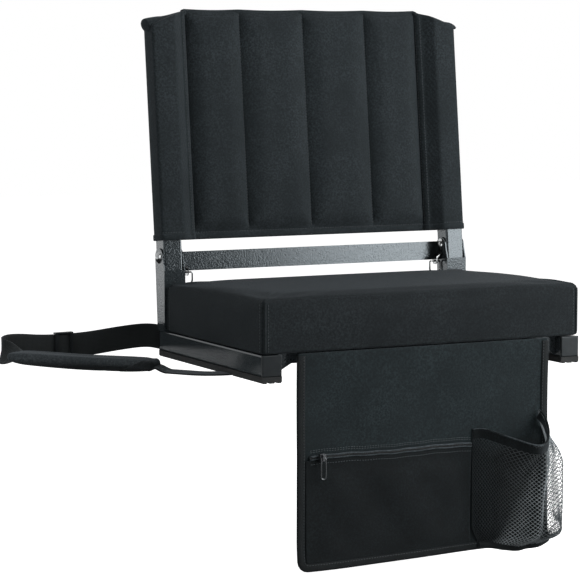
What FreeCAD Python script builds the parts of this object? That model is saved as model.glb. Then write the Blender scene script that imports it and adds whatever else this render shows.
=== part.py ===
import FreeCAD, Part
import Sketcher
import math
import operator
import os
from types import SimpleNamespace

# A folding stadium seat: two square-tube base rails that lie on a bench, a deep cushion,
# a padded back that folds down on two rivets, an accessory flap that hangs in front and a
# padded shoulder strap.  Millimetres, X to the viewer's right, Y to the back, Z up.  The origin
# lies on the bench, below the middle of the base.

V = FreeCAD.Vector

SIZES = {
    # base frame
    "seat_width": 432,
    "tube_side": 25,
    "tube_wall": 1.5,
    "tube_round": 2.5,
    "rail_length": 284,
    "cap_flange": 3,
    "cap_edge": 1.2,
    "cap_plug": 14,
    "plug_gap": 0.15,
    "core_gap": 0.75,
    "rib_width": 1.5,
    "rib_pitch": 4.5,
    "runner_height": 7.5,
    "runner_chamfer": 1.5,
    "groove_width": 4,
    "groove_depth": 1.2,
    "groove_pitch": 10,
    "recess_depth": 2.4,
    "recess_slack": 3,
    # cross bars of the base
    "brace_height": 12.5,
    "brace_sheet": 3,
    "brace_flange": 18,
    "brace_inset": 14,
    "rear_brace_inset": 47,
    "gusset_drop": 23,
    "gusset_run": 19,
    "screw_spread": 260,
    "screw_shank": 5,
    "screw_head": 9,
    "screw_head_height": 3,
    "screw_hole_gap": 0.3,
    # hinge
    "pivot_inset": 5,
    "pivot_rise": 27,
    "recline": 6,
    "channel_wall": 1.5,
    "channel_gap": 0.3,
    "rail_tail": 22,
    "stop_gap": 0.15,
    "web_drop": 15,
    "ear_round": 11.5,
    "foot_back": 5,
    "rivet_shank": 8,
    "rivet_gap": 0.05,
    "rivet_head": 15,
    "rivet_dome": 4,
    "rivet_tail": 11,
    "rivet_tail_dome": 2.5,
    # ring clips and rings
    "clip_width": 11,
    "clip_sheet": 1.2,
    "clip_top": 9.5,
    "clip_bend": 9,
    "clip_slope": 6,
    "ring_drop": 19.5,
    "clip_end": 4.5,
    "clip_clear": 0.6,
    "ring_wire": 2.2,
    "ring_hole_gap": 0.3,
    "ring_inside": 13,
    "ring_side": 9,
    "ring_corner": 2,
    # seat
    "cushion_gap": 0.5,
    "cushion_height": 63.5,
    "cushion_crown": 4,
    "cushion_round": 9,
    "cushion_corner": 12,
    "side_draw": 1.5,
    "cushion_back_gap": 1.1,
    "seat_cloth": 1.2,
    "fill_gap": 0.3,
    "board_sheet": 6,
    "board_inset": 6,
    # back
    "back_rise": 284,
    "back_bar_height": 24,
    "back_bar_drop": 17.5,
    "back_bar_sheet": 3,
    "back_bar_round": 4,
    "cover_rise": 21.5,
    "sleeve_top": 289,
    "panel_top": 309,
    "sleeve_gap": 0.3,
    "back_cloth": 1.6,
    "sleeve_lap": 2,
    "sleeve_round": 3.5,
    "edge_seam": 166,
    "mid_seam": 90,
    "seam_depth": 3,
    "channel_swell": 6.5,
    # accessory flap
    "flap_width": 342,
    "flap_length": 254,
    "flap_cloth": 2.4,
    "flap_corner": 10,
    "hem_round": 1.5,
    "hem_gap": 0.3,
    "hem_lead": 0.3,
    "binding_width": 10,
    "binding_cloth": 0.9,
    "layer_gap": 0.1,
    "zip_drop": 121,
    "zip_inset": 15,
    "zip_end_gap": 2,
    "tape_height": 14,
    "tape_cloth": 0.8,
    "coil_round": 1.5,
    "pocket_swell": 4,
    "slider_start": 15,
    "slider_length": 8,
    "slider_height": 9,
    "slider_depth": 4.2,
    "slider_gap": 0.2,
    "bridge_width": 3,
    "bridge_depth": 2.6,
    "pull_wire": 1.4,
    "pull_width": 7.4,
    "pull_length": 25,
    "pull_corner": 2.4,
    "pull_hole_gap": 0.25,
    # mesh pocket
    "pouch_width": 107,
    "pouch_depth": 43,
    "pouch_drop": 106,
    "pouch_height": 156,
    "pouch_flare": 6,
    "mouth_dip": 13,
    "mesh_wall": 1.2,
    "band_gap": 0.35,
    "band_height": 11,
    "band_cloth": 0.9,
    # shoulder strap
    "strap_width": 30,
    "strap_cloth": 1.8,
    "strap_gap": 0.2,
    "strap_reach": 211,
    "strap_line": -46,
    "strap_bend": 1.4,
    "strap_up": 22,
    "strap_start": 30,
    "anchor_sheet": 2,
    "anchor_length": 14,
    "anchor_width": 24,
    "anchor_stud": 6,
    "anchor_stud_height": 1.5,
    "pad_width": 44,
    "pad_swell": 12,
    "pad_lift": 0.3,
    "buckle_length": 24,
    "buckle_bar": 4,
    "buckle_sheet": 2.2,
    "buckle_side": 1.9,
    "buckle_gap": 0.2,
}

doc = FreeCAD.newDocument("stadium_seat")
sheet = doc.addObject("Spreadsheet::Sheet", "Sizes")
for row, (alias, number) in enumerate(SIZES.items(), start=1):
    sheet.set(f"A{row}", alias)
    sheet.set(f"B{row}", str(number))
    sheet.setAlias(f"B{row}", alias)
doc.recompute()

SIGNS = {"+": operator.add, "-": operator.sub, "*": operator.mul, "/": operator.truediv}


class Size:
    """A size worked out from the sheet: the expression that holds it, and its value now."""

    def __init__(self, text, value):
        self.text = text
        self.value = value

    def __add__(self, other):
        return combined(self, "+", other)

    def __radd__(self, other):
        return combined(other, "+", self)

    def __sub__(self, other):
        return combined(self, "-", other)

    def __rsub__(self, other):
        return combined(other, "-", self)

    def __mul__(self, other):
        return combined(self, "*", other)

    def __rmul__(self, other):
        return combined(other, "*", self)

    def __truediv__(self, other):
        return combined(self, "/", other)

    def __neg__(self):
        return combined(0, "-", self)


def as_size(thing):
    if isinstance(thing, Size):
        return thing
    return Size(repr(float(thing)), float(thing))


def combined(left, sign, right):
    left, right = as_size(left), as_size(right)
    return Size(f"({left.text} {sign} {right.text})", SIGNS[sign](left.value, right.value))


def mm(thing):
    return as_size(thing).value


s = SimpleNamespace(**{a: Size(f"Sizes.{a}", float(sheet.get(a))) for a in SIZES})
cos_recline = Size("cos(Sizes.recline * 1 deg)", math.cos(math.radians(s.recline.value)))
sin_recline = Size("sin(Sizes.recline * 1 deg)", math.sin(math.radians(s.recline.value)))

# Places that several pieces share.
half_tube = s.tube_side / 2
rail_x = s.seat_width / 2 - half_tube
rail_inner = rail_x - half_tube
rail_z = s.runner_height + half_tube
rail_top = s.runner_height + s.tube_side
frame_end = s.rail_length / 2 + s.cap_flange
cushion_bottom = rail_top + s.cushion_gap
cushion_top = cushion_bottom + s.cushion_height
pivot_y = frame_end - s.pivot_inset
pivot_z = cushion_top + s.pivot_rise
web_inner = half_tube * cos_recline + s.rail_tail * sin_recline + s.stop_gap
web_outer = web_inner + s.channel_wall
channel_half = half_tube + s.channel_gap + s.channel_wall
cushion_front = -frame_end
cushion_rear = pivot_y - web_outer - s.cushion_back_gap
hem_y = cushion_front - s.hem_lead
hem_z = cushion_bottom - s.hem_gap - s.hem_round
SIDES = {"left": -1, "right": 1}

pieces = []


# Helpers: sketches whose corners are bound to the sheet, and the features made from them.
def plane(body, role):
    for feature in body.Origin.OriginFeatures:
        if feature.Role == role:
            return feature


def new_body(label):
    body = doc.addObject("PartDesign::Body", label)
    body.Label = label
    pieces.append(body)
    return body


def bind(sketch, constraint, size):
    index = sketch.addConstraint(constraint)
    sketch.setExpression(f"Constraints[{index}]", as_size(size).text)


def pin(sketch, geometry, point, x, y):
    bind(sketch, Sketcher.Constraint("DistanceX", -1, 1, geometry, point, mm(x)), x)
    bind(sketch, Sketcher.Constraint("DistanceY", -1, 1, geometry, point, mm(y)), y)


def draw(body, role, corners=(), circles=(), lift=None):
    """One outline of lines and anticlockwise arcs, or some circles, on a plane of the body.
    A corner is (x, y), or (x, y, centre) where an arc about that centre leads to the next."""
    sketch = body.newObject("Sketcher::SketchObject", "Outline")
    sketch.AttachmentSupport = (plane(body, role), [""])
    sketch.MapMode = "FlatFace"
    if lift is not None:
        sketch.setExpression("AttachmentOffset.Base.z", as_size(lift).text)
    count = len(corners)
    for i, corner in enumerate(corners):
        a = V(mm(corner[0]), mm(corner[1]), 0)
        nxt = corners[(i + 1) % count]
        b = V(mm(nxt[0]), mm(nxt[1]), 0)
        if len(corner) == 2:
            sketch.addGeometry(Part.LineSegment(a, b))
            continue
        c = V(mm(corner[2][0]), mm(corner[2][1]), 0)
        circle = Part.Circle(c, V(0, 0, 1), (a - c).Length)
        start = math.atan2(a.y - c.y, a.x - c.x)
        end = math.atan2(b.y - c.y, b.x - c.x)
        if end <= start:
            end += 2 * math.pi
        sketch.addGeometry(Part.ArcOfCircle(circle, start, end))
    for i in range(count):
        sketch.addConstraint(Sketcher.Constraint("Coincident", i, 2, (i + 1) % count, 1))
    for i, corner in enumerate(corners):
        pin(sketch, i, 1, corner[0], corner[1])
        if len(corner) == 3:
            nxt = corners[(i + 1) % count]
            dx = abs(mm(nxt[0]) - mm(corner[0]))
            dy = abs(mm(nxt[1]) - mm(corner[1]))
            axis, place = ("DistanceY", 1) if dx >= dy else ("DistanceX", 0)
            centre = corner[2][place]
            bind(sketch, Sketcher.Constraint(axis, -1, 1, i, 3, mm(centre)), centre)
    for x, y, radius in circles:
        i = sketch.addGeometry(Part.Circle(V(mm(x), mm(y), 0), V(0, 0, 1), mm(radius)))
        pin(sketch, i, 3, x, y)
        bind(sketch, Sketcher.Constraint("Radius", i, mm(radius)), radius)
    return sketch


def rectangle(x0, x1, y0, y1):
    return [(x0, y0), (x1, y0), (x1, y1), (x0, y1)]


def square(side):
    return rectangle(-side / 2, side / 2, -side / 2, side / 2)


def feature(body, kind, sketch, length, both_ways=True, other_way=False):
    item = body.newObject(f"PartDesign::{kind}", kind)
    item.Profile = sketch
    if both_ways:
        item.SideType = "Symmetric"
    item.Reversed = other_way
    item.setExpression("Length", as_size(length).text)
    sketch.Visibility = False
    return item


def pad(body, sketch, length, **ways):
    return feature(body, "Pad", sketch, length, **ways)


def pocket(body, sketch, length, **ways):
    return feature(body, "Pocket", sketch, length, **ways)


def smooth(body, base, radius, chosen, kind="Fillet"):
    """Rounds or chamfers the edges of the last feature that the test picks."""
    doc.recompute()
    names = []
    for i, edge in enumerate(base.Shape.Edges, start=1):
        if chosen(edge):
            names.append(f"Edge{i}")
    item = body.newObject(f"PartDesign::{kind}", kind)
    item.Base = (base, names)
    item.setExpression("Radius" if kind == "Fillet" else "Size", as_size(radius).text)
    return item


def along(edge, axis):
    line = edge.Vertexes[-1].Point - edge.Vertexes[0].Point
    return line.Length > 0.01 and abs(abs(line.dot(axis)) - line.Length) < 1e-4


def place(item, x=0, y=0, z=0, turn=None):
    """Sets a piece in the shared frame; turn is (axis, size in degrees)."""
    rotation = FreeCAD.Rotation()
    if turn:
        rotation = FreeCAD.Rotation(turn[0], mm(turn[1]))
    item.Placement = FreeCAD.Placement(V(mm(x), mm(y), mm(z)), rotation)
    for axis, size in (("x", x), ("y", y), ("z", z)):
        item.setExpression(f"Placement.Base.{axis}", as_size(size).text)
    if turn and isinstance(turn[1], Size):
        item.setExpression("Placement.Rotation.Angle", turn[1].text)


def place_on_back(item, x=0):
    place(item, x, pivot_y, pivot_z, (V(-1, 0, 0), s.recline))


def free_form(label, shape):
    item = doc.addObject("Part::Feature", label)
    item.Label = label
    item.Shape = shape
    pieces.append(item)
    return item


def loop(points):
    return Part.makePolygon(list(points) + [points[0]])


def arc(a, middle, b):
    return Part.Arc(a, middle, b).toShape()


def line(a, b):
    return Part.LineSegment(a, b).toShape()


def block(x0, x1, y0, y1, z0, z1):
    return Part.makeBox(x1 - x0, y1 - y0, z1 - z0, V(x0, y0, z0))


def swept(path, profile):
    return path.makePipeShell([profile], True, False)


# Base rails: square tubes, open at both ends, on rubber runners.
def square_tube(body, role, length, lift=None, both_ways=True):
    bar = pad(body, draw(body, role, square(s.tube_side), lift=lift), length, both_ways=both_ways)
    axis = {"XZ_Plane": V(0, 1, 0), "XY_Plane": V(0, 0, 1)}[role]
    smooth(body, bar, s.tube_round, lambda edge: along(edge, axis))
    bore = s.tube_side - 2 * s.tube_wall
    inside = draw(body, role, square(bore), lift=lift)
    pocket(body, inside, length, both_ways=both_ways, other_way=not both_ways)


for side, sign in SIDES.items():
    rail = new_body(f"base_rail_{side}")
    square_tube(rail, "XZ_Plane", s.rail_length)
    place(rail, sign * rail_x, 0, rail_z)


# End caps: a flange over the tube's end and a ribbed plug inside it.
def end_cap(label):
    body = new_body(label)
    bore = s.tube_side - 2 * s.tube_wall
    flange = pad(body, draw(body, "XZ_Plane", square(s.tube_side)), s.cap_flange, both_ways=False)
    smooth(body, flange, s.cap_edge, lambda edge: edge.BoundBox.YMax < -mm(s.cap_flange) + 0.01)
    core = draw(body, "XZ_Plane", square(bore - 2 * s.core_gap))
    pad(body, core, s.cap_plug, both_ways=False, other_way=True)
    rib_sketch = draw(body, "XZ_Plane", square(bore - 2 * s.plug_gap), lift=-s.rib_width)
    rib = pad(body, rib_sketch, s.rib_width, both_ways=False, other_way=True)
    row = body.newObject("PartDesign::LinearPattern", "Ribs")
    row.Originals = [rib]
    row.Direction = (plane(body, "Y_Axis"), [""])
    row.setExpression("Length", (2 * s.rib_pitch).text)
    row.Occurrences = 3
    body.Tip = row
    return body


for side, sign in SIDES.items():
    front_cap = end_cap(f"rail_cap_front_{side}")
    place(front_cap, sign * rail_x, -s.rail_length / 2, rail_z)
    rear_cap = end_cap(f"rail_cap_rear_{side}")
    place(rear_cap, sign * rail_x, s.rail_length / 2, rail_z, (V(0, 0, 1), 180))

# Runners: rubber strips with two grip grooves and a recess in which the strap passes under.
for side, sign in SIDES.items():
    runner = new_body(f"runner_{side}")
    top = rectangle(-half_tube, half_tube, 0, s.runner_height)
    strip = pad(runner, draw(runner, "XZ_Plane", top), 2 * frame_end)
    smooth(runner, strip, s.runner_chamfer,
           lambda edge: along(edge, V(0, 1, 0)) and edge.BoundBox.ZMax < 0.01, "Chamfer")
    for place_x in (-s.groove_pitch / 2, s.groove_pitch / 2):
        groove = rectangle(place_x - s.groove_width / 2, place_x + s.groove_width / 2, 0, s.groove_depth)
        pocket(runner, draw(runner, "XZ_Plane", groove), 2 * frame_end)
    recess_half = s.strap_width / 2 + s.recess_slack
    recess = rectangle(s.strap_line - recess_half, s.strap_line + recess_half, 0, s.recess_depth)
    pocket(runner, draw(runner, "YZ_Plane", recess), s.tube_side)
    place(runner, sign * rail_x)


# Cross bars of the base: an upright plate with gusset ends and a flange under the cushion.
def cross_bar(label):
    body = new_body(label)
    web = [
        (-rail_inner, -s.gusset_drop),
        (-rail_inner + s.gusset_run, -s.brace_height),
        (rail_inner - s.gusset_run, -s.brace_height),
        (rail_inner, -s.gusset_drop),
        (rail_inner, 0),
        (-rail_inner, 0),
    ]
    pad(body, draw(body, "XZ_Plane", web), s.brace_sheet, both_ways=False, other_way=True)
    shelf = rectangle(-rail_inner, rail_inner, -s.brace_sheet, 0)
    pad(body, draw(body, "XZ_Plane", shelf), s.brace_flange, both_ways=False, other_way=True)
    middle = (s.brace_sheet + s.brace_flange) / 2
    radius = s.screw_shank / 2 + s.screw_hole_gap
    holes = [(-s.screw_spread / 2, middle, radius), (s.screw_spread / 2, middle, radius)]
    pocket(body, draw(body, "XY_Plane", circles=holes), 4 * s.brace_sheet)
    return body


front_bar = cross_bar("front_cross_bar")
front_bar_y = cushion_front + s.brace_inset
place(front_bar, 0, front_bar_y, rail_top)
rear_bar = cross_bar("rear_cross_bar")
rear_bar_y = frame_end - s.rear_brace_inset
place(rear_bar, 0, rear_bar_y, rail_top, (V(0, 0, 1), 180))

# Hinge uprights: channels open to the rear, whose web stops the back at its recline.
for side, sign in SIDES.items():
    upright = new_body(f"upright_{side}")
    foot = rail_top - pivot_z
    outline = [
        (-web_outer, foot),
        (s.foot_back, foot),
        (s.ear_round, 0, (0, 0)),
        (-s.ear_round, 0),
        (-web_outer, -s.web_drop),
    ]
    pad(upright, draw(upright, "YZ_Plane", outline), 2 * channel_half)
    hollow = [
        (-web_inner, foot + s.channel_wall),
        (2 * s.ear_round, foot + s.channel_wall),
        (2 * s.ear_round, 2 * s.ear_round),
        (-2 * s.ear_round, 2 * s.ear_round),
        (-2 * s.ear_round, -s.web_drop),
        (-web_inner, -s.web_drop),
    ]
    pocket(upright, draw(upright, "YZ_Plane", hollow), 2 * (channel_half - s.channel_wall))
    pivot_hole = [(0, 0, s.rivet_shank / 2 + s.rivet_gap)]
    pocket(upright, draw(upright, "YZ_Plane", circles=pivot_hole), 3 * channel_half)
    place(upright, sign * rail_x, pivot_y, pivot_z)

# Pivot rivets: a domed head outside, a shank through channel, back rail and ring clip, a peened tail.
for side, sign in SIDES.items():
    rivet = new_body(f"pivot_rivet_{side}")
    head = s.rivet_head / 2
    tail = s.rivet_tail / 2
    inner_end = channel_half + s.clip_sheet
    head_sphere = (head * head + s.rivet_dome * s.rivet_dome) / (2 * s.rivet_dome)
    tail_sphere = (tail * tail + s.rivet_tail_dome * s.rivet_tail_dome) / (2 * s.rivet_tail_dome)
    profile = [
        (-channel_half - s.rivet_dome, 0),
        (inner_end + s.rivet_tail_dome, 0, (inner_end + s.rivet_tail_dome - tail_sphere, 0)),
        (inner_end, tail),
        (inner_end, s.rivet_shank / 2),
        (-channel_half, s.rivet_shank / 2),
        (-channel_half, head, (head_sphere - channel_half - s.rivet_dome, 0)),
    ]
    lathe = draw(rivet, "XZ_Plane", profile)
    turned = rivet.newObject("PartDesign::Revolution", "Turned")
    turned.Profile = lathe
    turned.ReferenceAxis = (lathe, ["H_Axis"])
    turned.Angle = 360
    place(rivet, sign * rail_x, pivot_y, pivot_z, (V(0, 0, 1), 0 if sign < 0 else 180))

# Ring clips: bent tabs held by the rivets, with a D-ring hanging in the lower eye.
ring_half = s.ring_inside / 2 + s.ring_wire / 2
clip_reach = s.ring_inside / 2 + s.ring_wire + s.clip_clear
for side, sign in SIDES.items():
    clip = new_body(f"ring_clip_{side}")
    bottom = -s.ring_drop - s.clip_end
    shape = [
        (channel_half, s.clip_top),
        (channel_half, -s.clip_bend),
        (channel_half + clip_reach - s.clip_sheet / 2, -s.clip_bend - s.clip_slope),
        (channel_half + clip_reach - s.clip_sheet / 2, bottom),
        (channel_half + clip_reach + s.clip_sheet / 2, bottom),
        (channel_half + clip_reach + s.clip_sheet / 2, -s.clip_bend - s.clip_slope + s.clip_sheet),
        (channel_half + s.clip_sheet, -s.clip_bend + s.clip_sheet),
        (channel_half + s.clip_sheet, s.clip_top),
    ]
    tab = pad(clip, draw(clip, "XZ_Plane", shape), s.clip_width)
    ends = (mm(s.clip_top), mm(bottom))
    round_ends = smooth(clip, tab, 0.4 * s.clip_width, lambda edge: along(edge, V(1, 0, 0))
                        and min(abs(edge.Vertexes[0].Z - end) for end in ends) < 0.01)
    eyes = [
        (0, 0, s.rivet_shank / 2 + s.rivet_gap),
        (0, -s.ring_drop, s.ring_wire / 2 + s.ring_hole_gap),
    ]
    pocket(clip, draw(clip, "YZ_Plane", circles=eyes), 4 * channel_half)
    place(clip, sign * rail_x, pivot_y, pivot_z, (V(0, 0, 1), 0 if sign < 0 else 180))


def wire_loop(half, drop, corner, wire, bow):
    """A closed ring of round wire in the XZ plane: a straight bar on top, and a bowed or
    square lower end."""
    top = [V(-half + corner, 0, 0), V(half - corner, 0, 0)]
    bend = corner * (1 - math.sqrt(0.5))
    lower = half if bow else corner
    low = half * (1 - math.sqrt(0.5)) if bow else bend
    edges = [
        line(top[0], top[1]),
        arc(top[1], V(half - bend, 0, -bend), V(half, 0, -corner)),
        line(V(half, 0, -corner), V(half, 0, -drop + lower)),
        arc(V(half, 0, -drop + lower), V(half - low, 0, -drop + low), V(half - lower, 0, -drop)),
    ]
    if not bow:
        edges.append(line(V(half - lower, 0, -drop), V(-half + lower, 0, -drop)))
    edges += [
        arc(V(-half + lower, 0, -drop), V(-half + low, 0, -drop + low), V(-half, 0, -drop + lower)),
        line(V(-half, 0, -drop + lower), V(-half, 0, -corner)),
        arc(V(-half, 0, -corner), V(-half + bend, 0, -bend), top[0]),
    ]
    profile = Part.Wire(Part.makeCircle(wire / 2, top[0], V(1, 0, 0)))
    return swept(Part.Wire(edges), profile)


for side, sign in SIDES.items():
    ring_drop = mm(s.ring_side + ring_half)
    ring = free_form(f"d_ring_{side}", wire_loop(mm(ring_half), ring_drop, mm(s.ring_corner),
                                                 mm(s.ring_wire), True))
    place(ring, sign * (rail_x - channel_half - clip_reach), pivot_y, pivot_z - s.ring_drop)

# Back rails, their top plugs and the flat bar that ties them together.
for side, sign in SIDES.items():
    rail = new_body(f"back_rail_{side}")
    square_tube(rail, "XY_Plane", s.back_rise + s.rail_tail, lift=-s.rail_tail, both_ways=False)
    pivot_hole = [(0, 0, s.rivet_shank / 2 + s.rivet_gap)]
    pocket(rail, draw(rail, "YZ_Plane", circles=pivot_hole), 2 * s.tube_side)
    place_on_back(rail, sign * rail_x)
    plug = end_cap(f"back_plug_{side}")
    rise_y = pivot_y + s.back_rise * sin_recline
    rise_z = pivot_z + s.back_rise * cos_recline
    place(plug, sign * rail_x, rise_y, rise_z, (V(-1, 0, 0), 90 + s.recline))

back_bar = new_body("back_cross_bar")
bar_end = rail_x + half_tube
flat = rectangle(-bar_end, bar_end, -s.back_bar_drop, s.back_bar_height - s.back_bar_drop)
flat_sketch = draw(back_bar, "XZ_Plane", flat, lift=-half_tube)
flat_bar = pad(back_bar, flat_sketch, s.back_bar_sheet, both_ways=False, other_way=True)
smooth(back_bar, flat_bar, s.back_bar_round, lambda edge: along(edge, V(0, 1, 0)))
place_on_back(back_bar)


# Cushion: a sewn shell with a crown, round upper edges and sides drawn in between the corners,
# filled by foam on a plywood board that is screwed to the two cross bars.
def pillow_outline(x0, x1, y0, y1, z, corner, draw_in):
    """Closed outline at one height: four corner arcs joined by sides that bow inwards."""
    k = corner * (1 - math.sqrt(0.5))
    xm, ym = (x0 + x1) / 2, (y0 + y1) / 2
    edges = [
        arc(V(x0 + corner, y0, z), V(xm, y0 + draw_in, z), V(x1 - corner, y0, z)),
        arc(V(x1 - corner, y0, z), V(x1 - k, y0 + k, z), V(x1, y0 + corner, z)),
        arc(V(x1, y0 + corner, z), V(x1 - draw_in, ym, z), V(x1, y1 - corner, z)),
        arc(V(x1, y1 - corner, z), V(x1 - k, y1 - k, z), V(x1 - corner, y1, z)),
        arc(V(x1 - corner, y1, z), V(xm, y1 - draw_in, z), V(x0 + corner, y1, z)),
        arc(V(x0 + corner, y1, z), V(x0 + k, y1 - k, z), V(x0, y1 - corner, z)),
        arc(V(x0, y1 - corner, z), V(x0 + draw_in, ym, z), V(x0, y0 + corner, z)),
        arc(V(x0, y0 + corner, z), V(x0 + k, y0 + k, z), V(x0 + corner, y0, z)),
    ]
    return Part.Wire(edges)


def cushion_form(inset):
    half = mm(s.seat_width) / 2 - inset
    front, rear = mm(cushion_front) + inset, mm(cushion_rear) - inset
    low, high = mm(cushion_bottom) + inset, mm(cushion_top) - inset
    edge = mm(s.cushion_round)
    crown = mm(s.cushion_crown)
    depth = rear - front
    levels = [
        (low, 0.06 * edge, 0.3),
        (low + 0.3 * edge, 0, 0.6),
        ((low + high) / 2, 0, 1),
        (high - edge, 0, 0.8),
        (high - 0.62 * edge, 0.07 * edge, 0.7),
        (high - 0.29 * edge, 0.29 * edge, 0.6),
        (high - 0.05 * edge, 0.7 * edge, 0.4),
        (high + 0.1 * crown, 1.2 * edge, 0.3),
        (high + 0.55 * crown, 0.16 * depth, 0.2),
        (high + 0.88 * crown, 0.28 * depth, 0.2),
        (high + crown, 0.38 * depth, 0.2),
    ]
    outlines = []
    for z, away, share in levels:
        corner = mm(s.cushion_corner) + 0.08 * away
        outlines.append(pillow_outline(-half + away, half - away, front + away, rear - away, z,
                                       corner, share * mm(s.side_draw)))
    return Part.makeLoft(outlines, True, True)


cloth = mm(s.seat_cloth)
cover = cushion_form(0).cut(cushion_form(cloth))
free_form("cushion_cover", cover)

board_low = cushion_bottom + s.seat_cloth + s.fill_gap
board_high = board_low + s.board_sheet
board = new_body("seat_board")
board_edge = s.seat_cloth + s.board_inset
board_outline = rectangle(-s.seat_width / 2 + board_edge, s.seat_width / 2 - board_edge,
                          cushion_front + board_edge, cushion_rear - board_edge)
board_pad = pad(board, draw(board, "XY_Plane", board_outline), s.board_sheet, both_ways=False)
smooth(board, board_pad, s.cushion_corner, lambda edge: along(edge, V(0, 0, 1)))
place(board, 0, 0, board_low)

foam = cushion_form(cloth + mm(s.fill_gap))
below = block(-500, 500, -500, 500, -10, mm(board_high + s.fill_gap))
free_form("seat_foam", foam.cut(below))

screws = []
flange_middle = mm((s.brace_sheet + s.brace_flange) / 2)
under = mm(rail_top - s.brace_sheet)
for screw_y in (mm(front_bar_y) + flange_middle, mm(rear_bar_y) - flange_middle):
    for screw_x in (-mm(s.screw_spread) / 2, mm(s.screw_spread) / 2):
        tip = mm(board_high) - under
        shank = Part.makeCylinder(mm(s.screw_shank) / 2, tip, V(screw_x, screw_y, under))
        cap_height = mm(s.screw_head_height)
        cap = Part.makeCylinder(mm(s.screw_head) / 2, cap_height, V(screw_x, screw_y, under - cap_height))
        cap = cap.makeFillet(0.4 * cap_height, [e for e in cap.Edges if e.BoundBox.ZMax < under - 1])
        screws.append(shank.fuse(cap).removeSplitter())
free_form("board_screws", Part.makeCompound(screws))

# Back cover: a sleeve over each rail and, set back between them, a panel quilted into four
# channels.  Its shoulders slope from the panel's top down to the sleeves.
wall = mm(s.sleeve_gap + s.back_cloth)
sleeve_half = mm(half_tube) + wall
sleeve_out = mm(rail_x) + sleeve_half
sleeve_in = mm(rail_x) - sleeve_half - mm(s.sleeve_lap)
cover_low, cover_high = mm(s.cover_rise), mm(s.panel_top)
seams = [-mm(s.edge_seam), -mm(s.mid_seam), 0, mm(s.mid_seam), mm(s.edge_seam)]
seam_y = mm(s.seam_depth)
SWELL_LEVELS = [(0, 0.12), (0.03, 0.5), (0.12, 0.88), (0.5, 1), (0.88, 0.88), (0.97, 0.5), (1, 0.12)]


def cover_outline(z, swell):
    r = mm(s.sleeve_round)
    k = r * (1 - math.sqrt(0.5))
    out, half = sleeve_out, sleeve_half
    edges = []
    front_right = [V(out, half - r, z), V(out, -half + r, z), V(out - r, -half, z), V(sleeve_in, -half, z)]
    edges.append(line(front_right[0], front_right[1]))
    edges.append(arc(front_right[1], V(out - k, -half + k, z), front_right[2]))
    edges.append(line(front_right[2], front_right[3]))
    edges.append(line(front_right[3], V(seams[-1], seam_y, z)))
    for right, left in zip(seams[:0:-1], seams[-2::-1]):
        crest = V((right + left) / 2, seam_y - swell, z)
        edges.append(arc(V(right, seam_y, z), crest, V(left, seam_y, z)))
    edges.append(line(V(seams[0], seam_y, z), V(-sleeve_in, -half, z)))
    edges.append(line(V(-sleeve_in, -half, z), V(-out + r, -half, z)))
    edges.append(arc(V(-out + r, -half, z), V(-out + k, -half + k, z), V(-out, -half + r, z)))
    edges.append(line(V(-out, -half + r, z), V(-out, half - r, z)))
    edges.append(arc(V(-out, half - r, z), V(-out + k, half - k, z), V(-out + r, half, z)))
    edges.append(line(V(-out + r, half, z), V(out - r, half, z)))
    edges.append(arc(V(out - r, half, z), V(out - k, half - k, z), V(out, half - r, z)))
    return Part.Wire(edges)


def channel_outline(left, right, z, swell, inset):
    y0 = seam_y + inset
    y1 = sleeve_half - inset
    x0, x1 = left + 1.6 * inset, right - 1.6 * inset
    edges = [
        line(V(x0, y1, z), V(x0, y0, z)),
        arc(V(x0, y0, z), V((x0 + x1) / 2, y0 - swell, z), V(x1, y0, z)),
        line(V(x1, y0, z), V(x1, y1, z)),
        line(V(x1, y1, z), V(x0, y1, z)),
    ]
    return Part.Wire(edges)


def channel_fill(left, right, inset):
    outlines = []
    for share, fullness in SWELL_LEVELS[1:-1]:
        reach = cover_high - cover_low - 2 * inset
        z = cover_low + inset + share * reach
        swell = fullness * mm(s.channel_swell) - 0.2 * inset
        outlines.append(channel_outline(left, right, z, swell, inset))
    return Part.makeLoft(outlines, True, True)


swell_outlines = []
for share, fullness in SWELL_LEVELS:
    level = cover_low + share * (cover_high - cover_low)
    swell_outlines.append(cover_outline(level, fullness * mm(s.channel_swell)))
back_cover = Part.makeLoft(swell_outlines, True, True)
back_foams = []
for sign in SIDES.values():
    slope = [
        V(sign * (sleeve_out + 10), -60, mm(s.sleeve_top) - 10 * (cover_high - mm(s.sleeve_top))
          / (sleeve_out - seams[-1])),
        V(sign * seams[-1], -60, cover_high),
        V(sign * seams[-1], -60, cover_high + 20),
        V(sign * (sleeve_out + 10), -60, cover_high + 20),
    ]
    shoulder = Part.Face(loop(slope)).extrude(V(0, 120, 0))
    back_cover = back_cover.cut(shoulder)
    bore = mm(half_tube + s.sleeve_gap)
    middle = sign * mm(rail_x)
    bore_top = mm(s.back_rise + s.cap_flange + s.sleeve_gap)
    back_cover = back_cover.cut(block(middle - bore, middle + bore, -bore, bore, 0, bore_top))
for left, right in zip(seams[:-1], seams[1:]):
    back_cover = back_cover.cut(channel_fill(left, right, mm(s.back_cloth)))
    back_foams.append(channel_fill(left, right, mm(s.back_cloth + s.fill_gap)))
place_on_back(free_form("back_cover", back_cover))
place_on_back(free_form("back_foam", Part.makeCompound(back_foams)))

# Accessory flap: a panel on a rolled hem, bound on three edges.
flap = new_body("flap_panel")
flap_half = s.flap_width / 2
hem = draw(flap, "YZ_Plane", circles=[(0, 0, s.hem_round)])
pad(flap, hem, s.flap_width)
panel = pad(flap, draw(flap, "XZ_Plane", rectangle(-flap_half, flap_half, -s.flap_length, 0)), s.flap_cloth)
smooth(flap, panel, s.flap_corner, lambda edge: along(edge, V(0, 1, 0))
       and edge.BoundBox.ZMax < 1 - mm(s.flap_length))
place(flap, 0, hem_y, hem_z)

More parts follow.
